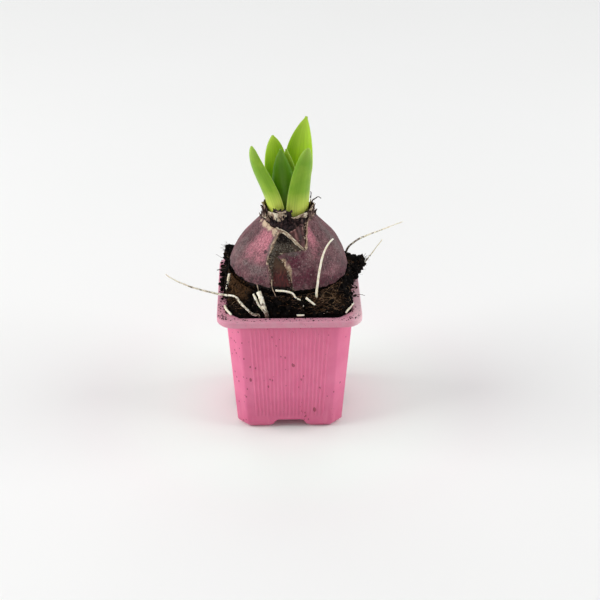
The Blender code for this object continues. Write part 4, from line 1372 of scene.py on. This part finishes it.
def make_patch(name, material, corners, lift, tone):
    """A sheet that lies on the bulb between four corners of (degrees, mm)."""
    low_left, low_right, high_right, high_left = [Vector(corner) for corner in corners]
    steps = [step / 24 for step in range(25)]
    vertices, tones = [], []
    for up, across in itertools.product(steps, steps):
        spot = low_left.lerp(low_right, across).lerp(high_left.lerp(high_right, across), up)
        border = min(across, 1 - across, up, 1 - up)
        ragged = 0.35 * bumps(spot.x / 2.2, spot.y / 1.1, lift)
        spot = spot + Vector((2.2, 1.0)) * ragged * (border < 0.001)
        rise = lift + 0.22 * bumps(spot.x / 5.0, spot.y / 6.0, 2.0)
        vertices.append(bulb_point(spot.x, spot.y, rise))
        tones.append(clamp(tone + 0.4 * bumps(spot.x / 5, spot.y / 3, 1.0)
                           + 0.35 * exp(-border / 0.05)))
    skin_sheet(name, material, vertices, tones, len(steps))


def make_ribbon(name, material, route, lift, tone, rows=60):
    """A narrow strip of torn skin along a route of (degrees, mm, width in mm)."""
    vertices, tones = [], []
    line = smooth_route([Vector(point) for point in route], rows // (len(route) - 1))
    swings = [column / 5 - 1 for column in range(11)]
    for index, spot in enumerate(line):
        before, after = neighbours(line, index)
        here = bulb_point(spot.x, spot.y, lift)
        along = (bulb_point(after.x, after.y, lift)
                 - bulb_point(before.x, before.y, lift)).normalized()
        out = toward(radians(spot.x - 90), 0.35).normalized()
        side = along.cross(out).normalized()
        for across in swings:
            wide = 0.5 * spot.z * MM * (1 + 0.5 * bumps(index / 5, across, lift))
            curl = 0.14 * abs(across) ** 2 * wide
            wave = 0.16 * MM * bumps(index / 7, across, 4.0)
            vertices.append(here + side * (across * wide) + out * (curl + wave))
            tones.append(clamp(tone + 0.3 * bumps(index / 6, 2 * across, 1.0)
                               + 0.25 * abs(across) ** 4))
    skin_sheet(name, material, vertices, tones, len(swings))


def wine_material():
    """A second skin in the opening: brown wine, smooth, with darker cracks."""
    graph = Graph("under_tunic")
    share = graph.plus(graph.attribute("tone"), graph.centred(graph.noise(1.4, 5.0, 0.7), 0.8))
    graph.tint = graph.ramp(share, (0.10, 38, 19, 20), (0.40, 86, 50, 48),
                            (0.66, 124, 82, 80), (0.90, 200, 160, 146))
    return graph.finish(Roughness=0.5, Specular_IOR_Level=0.35,
                        Normal=graph.bump(graph.noise(0.6, 4.0, 0.7), 0.1, 0.7))


# Mould and dirt: (count, degrees, spread, mm, spread, tone from, to, lift from, to).
MOULD_ZONES = (
    (420, -5, 9.0, 96.6, 1.3, 0.30, 0.95, -0.8, -0.1),
    (260, -7, 7.0, 99.2, 1.2, 0.0, 0.30, -0.8, -0.1),
    (240, 3, 8.0, 94.9, 0.8, 0.10, 0.80, 0.0, 0.45),
    (150, -10, 3.5, 93.6, 1.1, 0.10, 0.75, -0.2, 0.45),
    (300, -22, 2.4, 97.2, 2.9, 0.45, 1.0, 0.0, 0.5),
    (130, -22, 2.4, 92.2, 2.2, 0.20, 0.9, -0.5, 0.35),
    (200, -19.5, 1.8, 85.5, 3.2, 0.20, 0.9, -0.2, 0.4),
    (190, 0.5, 1.6, 86.5, 4.0, 0.20, 0.9, 0.0, 0.5),
    (50, -20, 1.6, 100.4, 0.9, 0.0, 0.4, -0.2, 0.3),
    (60, 21, 1.5, 97.5, 1.8, 0.0, 0.2, -0.8, -0.2),
)


def make_mould(material):
    """Grey felt of mould and dirt where the torn skins meet."""
    batch = Batch(59)
    chance, between = batch.chance, batch.chance.uniform
    for count, place, spread, level, rise, dim, pale, low, high in MOULD_ZONES:
        for _ in range(count):
            degrees = chance.gauss(place, spread)
            height = chance.gauss(level, rise)
            spot = bulb_point(degrees, height, between(low, high))
            if chance.random() < 0.6:
                batch.crumb(spot, between(0.12, 0.36) * MM, between(dim, pale))
            else:
                turn = radians(degrees - 90)
                out = toward(turn, 0.5)
                stray = Vector((chance.gauss(0, 0.8), chance.gauss(0, 0.8), 0))
                batch.tube(batch.wander(spot, out + stray, between(0.6, 1.6) * MM,
                                        4, 0.5), 0.06 * MM, 0.03 * MM, 3, between(dim, pale))
    return batch.piece("mould_felt", material, "bulb_skin")


def mould_material():
    return toned_material("mould_grey", ((0.1, 20, 14, 14), (0.45, 84, 75, 65),
                                         (0.8, 156, 148, 134)),
                          (0.4, 0.7, 0.5, 0.8, 3.0), (52, 42, 38), 0.3, 0.5,
                          Roughness=0.95, Specular_IOR_Level=0.2)


# The neck's rings, by direction in degrees and height in mm: (name, lift, seed, tone, jag, lean,
# span or None, foot, top).
NECK_RINGS = (
    ("neck_core", -0.55, 5.3, 0.10, 0.8, 0.0, None,
     ((-90, 101.0), (0, 99.0), (90, 101.0), (180, 101.0)),
     ((-88, 110.0), (-60, 109.6), (-36, 108.6), (-12, 109.8), (0, 110.2), (12, 108.8),
      (30, 108.8), (50, 110.0), (75, 110.6), (120, 108.8), (180, 108.5), (240, 109.2))),
    ("neck_membrane", 0.0, 8.7, 0.70, 0.2, 0.0, (-68, -5),
     ((-66, 107.2), (-50, 107.6), (-36, 107.2), (-27, 106.8), (-20, 106.9), (-14, 107.6),
      (-7, 109.6), (0, 110)),
     ((-66, 108.6), (-50, 110.6), (-36, 110.9), (-22, 110.9), (-14, 110.9), (-7, 110.6),
      (0, 110))),
    ("neck_right_edge", 0.0, 7.1, 0.62, 0.3, 0.0, (6, 70),
     ((6, 109.0), (16, 108.2), (28, 108.5), (45, 107.6), (66, 108.4)),
     ((6, 109.3), (16, 109.3), (28, 110.2), (45, 110.4), (66, 111.2))),
    ("neck_back_scale", -0.2, 2.9, 0.45, 0.7, 0.0, (64, 296),
     ((64, 107.0), (180, 106.0), (290, 107.0)),
     ((64, 112.0), (90, 111.2), (112, 109.6), (150, 108.5), (200, 108.8), (250, 109.6),
      (290, 110.8))),
    ("neck_husk", 0.30, 3.1, 0.26, 1.5, 0.4, (46, 316),
     ((-100, 104.0), (-44, 105.5), (44, 106.4), (60, 105.6), (90, 104.6), (180, 104.0)),
     ((-100, 109.8), (-80, 109.6), (-62, 108.8), (-50, 107.6), (-44, 106.6), (44, 107.2),
      (56, 109.2), (70, 110.4), (90, 109.8), (140, 107.6), (180, 108.0), (230, 107.8))),
    ("neck_torn_scale", -0.35, 4.4, 0.06, 0.8, 0.0, (-42, 6),
     ((-42, 110.4), (-20, 109.8), (6, 110.6)),
     ((-42, 111.0), (-34, 112.6), (-20, 112.4), (-8, 113.4), (0, 112.6), (6, 111.0))),
    ("neck_inner_scale", -0.15, 6.1, 0.60, 0.2, 0.0, (-30, -6),
     ((-30, 111.8), (-18, 111.0), (-6, 111.9)), ((-30, 112.2), (-18, 112.2), (-6, 112.9))),
)


def make_neck(papery):
    """Rings of dead and living scale between the skin's top edge and the leaves."""
    for name, lift, seed, tone, jag, lean, span, foot, top in NECK_RINGS:
        make_collar(name, papery, foot, top, lift, seed, tone, jag, lean, span)
    make_ribbon("neck_knob", papery, ((-76, 106.2, 1.0), (-69, 106.8, 2.0), (-61, 107.4, 2.0),
                                      (-54, 107.9, 1.1)), 0.75, 0.80, 24)


# ---- the leaves

CUP_FLOOR = 100.0 * MM
LEAF_BASE = CUP_FLOOR + CLEARANCE
LEAF_EDGE_THICKNESS = 0.7 * MM
LEAF_TIP_HALF_WIDTH = 0.8 * MM
# A blade's outline: its widest place, and the (power, root) of its taper above that.
STRAP = (0.22, 1.35, 0.48)
SPOON = (0.5, 2.3, 0.62)
SPEAR = (0.5, 1.6, 0.78)
OUTER_LEAF_RADIUS = 9.3 * MM
INNER_LEAF_RADIUS = 6.8 * MM
LEAF_STATIONS = 72
LEAF_ACROSS = 22


def bezier(points, share):
    rest = 1 - share
    first, second, third, last = points
    return (first * rest ** 3 + second * 3 * rest ** 2 * share
            + third * 3 * rest * share ** 2 + last * share ** 3)


def leaf_half_width(share, base, widest, outline):
    widest_at, power, root = outline
    swell = blend(base, widest, clamp(share / widest_at) ** 2)
    taper = max(share - widest_at, 0.0) / (1 - widest_at)
    return max(swell * (1 - taper ** power) ** root, LEAF_TIP_HALF_WIDTH)


def make_leaf(material, name, facing, base_arc, tip, radius, widest, thickness, bulge,
              tip_facing, droop, sway, outline, painted_shade):
    """One blade, on the part's own formula, with rounded margins and a rounded hooded tip."""
    direction = radians(facing)
    outward = toward(direction)
    foot = BULB_CENTRE + outward * radius + Vector((0.0, 0.0, LEAF_BASE))
    top = Vector(tip) * MM
    rise = top.z - foot.z
    control = [foot, foot + Vector((0.0, 0.0, 0.42 * rise)) + outward * bulge * MM,
               top + Vector((sway * MM, 0.0, -0.30 * rise)) + outward * droop * MM, top]
    rings, along_values, across_values, face_values = [], [], [], []
    for station in range(LEAF_STATIONS + 1):
        share = (station / LEAF_STATIONS) ** 0.85
        centre = bezier(control, share)
        step = 0.01
        along = (bezier(control, min(share + step, 1.0))
                 - bezier(control, max(share - step, 0.0))).normalized()
        turned = radians(blend(facing, tip_facing, share))
        back = toward(turned)
        back = (back - along * back.dot(along)).normalized()
        side = along.cross(back)
        base_half = radius * sin(radians(base_arc))
        half_width = leaf_half_width(share, base_half, widest * MM, outline)
        half_arc = radians(blend(base_arc, 62, share))
        curve = half_width / sin(half_arc)
        middle = centre - back * curve
        thick = max(blend(thickness, 0.55 * thickness, share) * MM, LEAF_EDGE_THICKNESS)
        thick *= 1 - 0.5 * smooth(share, 0.93, 1.0)
        outer, inner = [], []
        for index in range(LEAF_ACROSS + 1):
            place = sin(pi / 2 * (2 * index / LEAF_ACROSS - 1))
            angle = place * half_arc
            arm = back * cos(angle) + side * sin(angle)
            here = blend(thick, 0.75 * LEAF_EDGE_THICKNESS, abs(place) ** 1.5)
            rounding = sqrt(max(1 - abs(place) ** 12, 0.0))
            ease = 0.5 * here * (1 - rounding)
            vein = 0.028 * MM * sin(place * 34.0) * (1 - abs(place) ** 4)
            keel = 0.10 * MM * exp(-(place / 0.12) ** 2)
            outer.append(middle + arm * (curve - ease + vein + keel))
            inner.append(middle + arm * max(curve - here + ease + vein, 0.12 * MM))
        rings.append(outer + inner[::-1])
        along_values.extend([share] * (2 * LEAF_ACROSS + 2))
        spread = [2 * index / LEAF_ACROSS - 1 for index in range(LEAF_ACROSS + 1)]
        across_values.extend(spread + spread[::-1])
        face_values.extend([1.0] * (LEAF_ACROSS + 1) + [0.0] * (LEAF_ACROSS + 1))
    vertices, faces = loft(rings)
    return make_piece(name + "_blade", vertices, faces, material, (name,),
                      {"along": along_values, "across": across_values, "outer": face_values,
                       "painted_shade": [painted_shade] * len(vertices)})


def leaf_material():
    """Fresh succulent leaf: parallel veins, pale base and margins, a waxy bloom."""
    graph = Graph("hyacinth_leaf")
    along, across, outer = (graph.attribute(name) for name in ("along", "across", "outer"))

    def lengthwise(detail, roughness, wide, long):
        return graph.noise(1.0, detail, roughness, graph.vector(
            graph.times(across, wide), graph.times(along, long), outer))

    outside = graph.ramp(along, (0.0, 236, 232, 134), (0.20, 220, 230, 104),
                         (0.42, 132, 174, 42), (0.80, 126, 170, 44), (1.0, 164, 196, 84))
    inside = graph.ramp(along, (0.0, 156, 188, 30), (0.30, 166, 220, 18),
                        (0.55, 186, 228, 36), (1.0, 204, 234, 84))
    graph.tint = graph.mix(outer, inside, outside)
    veins = lengthwise(3.0, 0.6, 12.0, 1.2)
    graph.coat(graph.remap(veins, 0.42, 0.66, 0.0, 0.26), (92, 140, 22))
    graph.coat(graph.blotch(0.40, 0.7, 0.22, 7.0), (190, 214, 80))
    # Painted shade: each leaf's own share of darkening towards deep green, strongest on the inner
    # leaves that stand in the others' shade.
    graph.coat(graph.attribute("painted_shade"), (46, 106, 0))
    margin = graph.remap(graph.math("ABSOLUTE", across), 0.84, 0.97, 0.0, 0.78)
    graph.coat(margin, (206, 224, 132))
    return graph.finish(Roughness=graph.remap(graph.noise(3.0, 3.0), 0.3, 0.7, 0.36, 0.48),
                        Normal=graph.bump(lengthwise(2.0, 0.55, 26.0, 2.5), 0.05, 0.5),
                        Subsurface_Weight=0.22, Subsurface_Radius=(0.0022, 0.003, 0.0006),
                        Subsurface_Scale=0.6, Specular_IOR_Level=0.22)


def make_leaves():
    material = leaf_material()
    outer, inner = OUTER_LEAF_RADIUS, INNER_LEAF_RADIUS
    # The last number of each row is the leaf's painted shade, darkest for the inner leaves.
    for row in (
            ("leaf_front_left", 216, 46, (-17.3, -6, 143.9), outer, 6.6, 2.1, -1.0, 228, 0.5,
             -1.3, STRAP, 0.0),
            ("leaf_front_right", 309, 43, (9.4, -9, 144.0), outer, 6.8, 2.1, 0.0, 290, 0.5,
             -2.0, STRAP, 0.06),
            ("leaf_back_right", 38, 41, (8.9, 8, 153.2), outer, 7.9, 2.1, 0.0, 80, 1.5,
             -4.5, SPEAR, 0.18),
            ("leaf_back_left", 127, 34, (-7.4, 9, 143.3), outer, 6.4, 2.1, 0.0, 112, 2.0,
             0.2, SPOON, 0.0),
            ("leaf_inner_front", 262, 74, (-3.6, -1.5, 140.4), inner, 5.8, 1.7, 0.0, 268, 1.5,
             0.0, SPEAR, 0.6),
            ("leaf_inner_back", 80, 74, (-0.7, 3, 138.7), inner, 5.8, 1.7, 0.0, 80, 1.5,
             0.0, SPEAR, 0.4)):
        make_leaf(material, *row)


def bud_material():
    return toned_material("flower_bud", ((0.0, 86, 116, 34), (0.6, 146, 178, 66),
                                         (1.0, 196, 206, 120)),
                          (0.45, 0.7, 0.4, 1.5, 3.0), (120, 96, 104), 0.5, 0.6,
                          Roughness=0.45, Subsurface_Weight=0.15,
                          Subsurface_Radius=(0.002, 0.002, 0.001), Subsurface_Scale=0.5)


def make_bud():
    """The closed flower spike between the inner leaves: one small pointed bud per floret."""
    bud_height, bud_radius, florets = 24.0 * MM, 4.5 * MM, 64
    golden = radians(137.5)

    def girth(share):
        return bud_radius * sin(pi * (0.2 + 0.76 * share)) ** 0.6

    batch = Batch()
    batch.add(*loft([[ring_point(0.62 * girth(level / 24), angle,
                                 LEAF_BASE + level / 24 * bud_height * 0.97)
                      for angle in turns(32)] for level in range(25)]), 0.3)
    for count in range(florets):
        share = (count + 1.5) / (florets + 2)
        out = toward(count * golden)
        size = blend(1.35, 0.75, share) * MM
        lean = (out * blend(0.55, 0.15, share) + Vector((0, 0, 1))).normalized()
        side = lean.cross(out).normalized()
        foot = (BULB_CENTRE + out * (girth(share) - 1.1 * size)
                + Vector((0, 0, LEAF_BASE + share * bud_height * 0.9)))
        rings = []
        for part in (step / 7 for step in range(8)):
            radius = size * 0.8 * sin(pi * (0.12 + 0.84 * part)) ** 0.7
            rings.append(hoop(foot + lean * (part * 2.6 * size), radius, side,
                              side.cross(lean), 12))
        batch.add(*loft(rings), 0.4 + 0.5 * share)
    piece = batch.piece("bud_florets", bud_material(), "bud")
    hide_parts("flower_bud")


# ---- the roots

def root_material():
    """Cream fleshy roots with a dry silky skin, brown scuffs and clinging grains of soil."""
    graph = Graph("pale_root")
    tone = graph.attribute("tone")
    graph.tint = graph.ramp(graph.noise(2.2), (0.30, 232, 220, 188), (0.50, 250, 242, 220),
                            (0.75, 255, 252, 242))
    scuff = graph.plus(graph.noise(1.6, 5.0, 0.7), graph.times(tone, 0.30))
    graph.coat(graph.remap(scuff, 0.64, 0.76, 0.0, 0.9), (92, 68, 46))
    grain = graph.plus(graph.noise(0.5, 3.0, 0.7), graph.times(tone, 0.20))
    graph.coat(graph.remap(grain, 0.66, 0.72, 0.0, 0.85), (44, 30, 22))
    return graph.finish(Roughness=0.5, Specular_IOR_Level=0.45, Subsurface_Weight=0.12,
                        Subsurface_Radius=(0.0012, 0.0009, 0.0005), Subsurface_Scale=0.5,
                        Normal=graph.bump(graph.noise(0.45, 3.0), 0.08, 0.7))


def on_soil(degrees, rise, raised):
    return soil_point(radians(degrees), rise, raised * MM)


def root_table():
    """Every strand: (node, radii in mm and dirtiness at both ends, points of its route)."""
    return (
        ("root_left_long", 0.75, 0.3, 0.9, 0.12, (
            at(-14, -26.5, 62), on_soil(244, 0.12, 0.2), on_soil(239.5, 0.25, 0.4),
            on_soil(231, 0.5, 0.6), on_soil(221, 0.6, 0.7), at(-34.5, -16.5, 71.2),
            at(-43.1, -17, 74.1), at(-49.7, -18, 77.1), at(-56.1, -20, 81.6),
            at(-58.9, -22, 85.4))),
        ("root_right_long", 0.6, 0.28, 1.25, 0.05, (
            at(28.4, 14, 70), at(29.4, 15.2, 78.3), at(34, 18, 82.2), at(41.4, 23, 83.3),
            at(47.2, 27, 83.5), at(58.9, 33.5, 85.1))),
        ("root_right_thin", 0.4, 0.25, 1.1, 0.0, (
            at(34, 7, 69.5), at(37.5, 8, 74.5), at(41.7, 10, 79.2), at(46.8, 13, 85.3))),
        ("root_upright", 0.62, 0.42, 0.2, 0.0, (
            at(12.6, -23.5, 66), at(12.8, -25.4, 72), at(13, -26.9, 77.4),
            at(14.1, -24.9, 86.4), at(15.2, -21.9, 91), at(16.6, -19, 94.5),
            at(18.5, -16.7, 97.7), at(21.1, -13.4, 99.1))),
        ("root_fork", 1.15, 1.05, 0.0, 1.3, (
            on_soil(241, 1.0, 1.2), on_soil(246, 0.68, 0.9), on_soil(250, 0.25, 0.6),
            at(-9.6, -26, 61))),
        ("root_fork", 0.55, 0.5, 0.0, 0.6, (
            on_soil(237, 0.88, 0.9), on_soil(242, 0.62, 0.8), on_soil(248, 0.34, 0.4))),
        ("root_trailing", 0.5, 0.35, 0.15, 0.3, (
            at(-6.6, -27.9, 79), at(-2.6, -28.9, 79.2), at(1.2, -29, 78), on_soil(276, 0.88, 0.5),
            on_soil(281, 0.72, 0.3), on_soil(283, 0.5, -0.6))),
        ("root_middle", 0.62, 0.42, 0.0, 0.2, (
            on_soil(284.5, 0.84, 0.8), on_soil(292.5, 0.52, 0.6))),
        ("root_left_short", 0.8, 0.7, 0.0, 0.5, (
            on_soil(198.5, 0.99, 0.9), on_soil(197.5, 0.26, 1.0))),
        ("root_front_left", 0.7, 0.5, 0.4, 0.1, (at(-31.2, -20, 66.8), at(-30.4, -24, 67),
                                                 at(-28, -29.2, 66.7))),
        ("root_front_right", 0.65, 0.5, 0.4, 0.1, (at(30.9, -19.6, 67.1), at(29.3, -23.6, 67.2),
                                                   at(26.9, -28.2, 66.8))),
        ("root_small_front", 0.5, 0.4, 0.0, 0.0, (at(3.4, -30.4, 66.7), at(7, -30.5, 66.9))),
        ("root_small_right", 0.4, 0.3, 0.5, 0.5, (on_soil(295, 0.1, 0.3), on_soil(301, 0.3, 0.3))),
    )


def make_roots():
    material = root_material()
    gathered = {}
    for node, first, last, soiled, cleaner, points in root_table():
        batch = gathered.setdefault(node, Batch())
        route = smooth_route(points, 14)
        for index in range(1, len(route) - 1):
            spot = route[index] / (3.5 * MM)
            wobble = [noise.noise(spot + Vector((shift, 0, 0))) for shift in (0, 40, 80)]
            route[index] = route[index] + Vector(wobble) * (0.16 * MM)
        vertices, faces = tube_mesh(route, first * MM, last * MM, 14, 0.16, rounded=True)
        batch.add(vertices, faces, [blend(soiled, cleaner, index / len(vertices))
                                    for index in range(len(vertices))])
    for node, batch in gathered.items():
        piece = batch.piece(node + "_fine", material, "root")
        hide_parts(node)


# ---- stage

CAMERA_TARGET = at(5.58, 0.0, 58.35)
CAMERA_DISTANCE = 750.0 * MM
CAMERA_ELEVATION = 28.93
CAMERA_AZIMUTH = -1.2
SENSOR_WIDTH = 36.0
FOCAL_LENGTH = 90.23
FLOOR_HALF = 6.0
FLOOR_DROP = 0.2 * MM
LIGHTS_AIM = at(0, 0, 70)
# (name, place and size in metres, power in watts) of each soft light.
SOFTBOXES = (("softbox_left", (-1.3, -0.15, 0.75), (1.1, 1.1), 15.3),
             ("softbox_right", (1.3, -0.1, 0.75), (1.1, 1.1), 10.8),
             ("softbox_top", (0.0, 0.1, 1.6), (1.4, 1.4), 2.4),
             ("softbox_back", (0.0, 1.3, 0.9), (1.4, 1.0), 2.9))


def make_camera():
    elevation, azimuth = radians(CAMERA_ELEVATION), radians(CAMERA_AZIMUTH)
    back = Vector((sin(azimuth) * cos(elevation),
                   -cos(azimuth) * cos(elevation), sin(elevation)))
    data = bpy.data.cameras.new("camera")
    data.sensor_width = SENSOR_WIDTH
    data.lens = FOCAL_LENGTH
    data.clip_start = 0.01
    camera = bpy.data.objects.new("camera", data)
    camera.location = CAMERA_TARGET + back * CAMERA_DISTANCE
    camera.rotation_euler = back.to_track_quat("Z", "Y").to_euler()
    bpy.context.scene.collection.objects.link(camera)
    bpy.context.scene.camera = camera


def floor_material():
    graph = Graph("pale_floor")
    graph.tint = graph.mix(graph.noise(220.0, 2.0), (247, 247, 246), (244, 244, 242))
    ahead, beside = graph.axis("Y"), graph.axis("X")
    reach = graph.math("SQRT", graph.plus(graph.times(ahead, ahead),
                                          graph.times(beside, beside)))
    # Painted light correction: a faint green tint near the pot that cancels the pink light the pot
    # throws onto the floor.
    graph.coat(graph.remap(reach, 105.0, 50.0), (245, 255, 249))
    return graph.finish(Roughness=0.8, Specular_IOR_Level=0.2)


def make_floor():
    mesh = bpy.data.meshes.new("floor")
    size = FLOOR_HALF
    mesh.from_pydata([(-size, -size, 0), (size, -size, 0), (size, size, 0), (-size, size, 0)],
                     [], [(0, 1, 2, 3)])
    mesh.materials.append(floor_material())
    stage_floor = bpy.data.objects.new("floor", mesh)
    stage_floor.location.z = -FLOOR_DROP
    bpy.context.scene.collection.objects.link(stage_floor)


def add_light(name, place, size, power):
    data = bpy.data.lights.new(name, "AREA")
    data.shape = "RECTANGLE"
    data.size, data.size_y = size
    data.energy = power
    light = bpy.data.objects.new(name, data)
    light.location = place
    light.rotation_euler = (Vector(place) - LIGHTS_AIM).to_track_quat("Z", "Y").to_euler()
    bpy.context.scene.collection.objects.link(light)


def make_lights():
    world = bpy.data.worlds.new("studio")
    bpy.context.scene.world = world
    world.use_nodes = True
    background = world.node_tree.nodes["Background"]
    background.inputs["Color"].default_value = (0.97, 0.98, 1.0, 1.0)
    background.inputs["Strength"].default_value = 0.41
    for light in SOFTBOXES:
        add_light(*light)


def main():
    make_camera()
    make_lights()
    make_floor()
    scene_view = bpy.context.scene.view_settings
    scene_view.view_transform = "Standard"
    make_pot()
    soil = soil_material()
    fibre = fibre_material()
    make_soil_mound(soil)
    make_crumbs(soil)
    make_rim_crumbs(soil)
    make_soil_fibres(fibre)
    make_flesh(flesh_material())
    make_tunic(tunic_material())
    papery = papery_material()
    make_neck(papery)
    make_patch("wine_patch", wine_material(), ((19, 96.6), (22.5, 96.6), (31, 106.0),
                                               (-1, 102.3)), 0.10, 0.34)
    make_ribbon("torn_strip", papery, ((-27, 103.9, 2.2), (-18, 103.3, 1.9), (-9, 102.7, 1.6),
                                       (0, 101.4, 1.4), (8, 99.6, 1.3), (15, 97.5, 1.3),
                                       (20, 95.8, 0.8)), 0.45, 0.66)
    make_frays(papery)
    make_neck_scraps(papery)
    make_mould(mould_material())
    make_leaves()
    make_bud()
    make_roots()


main()
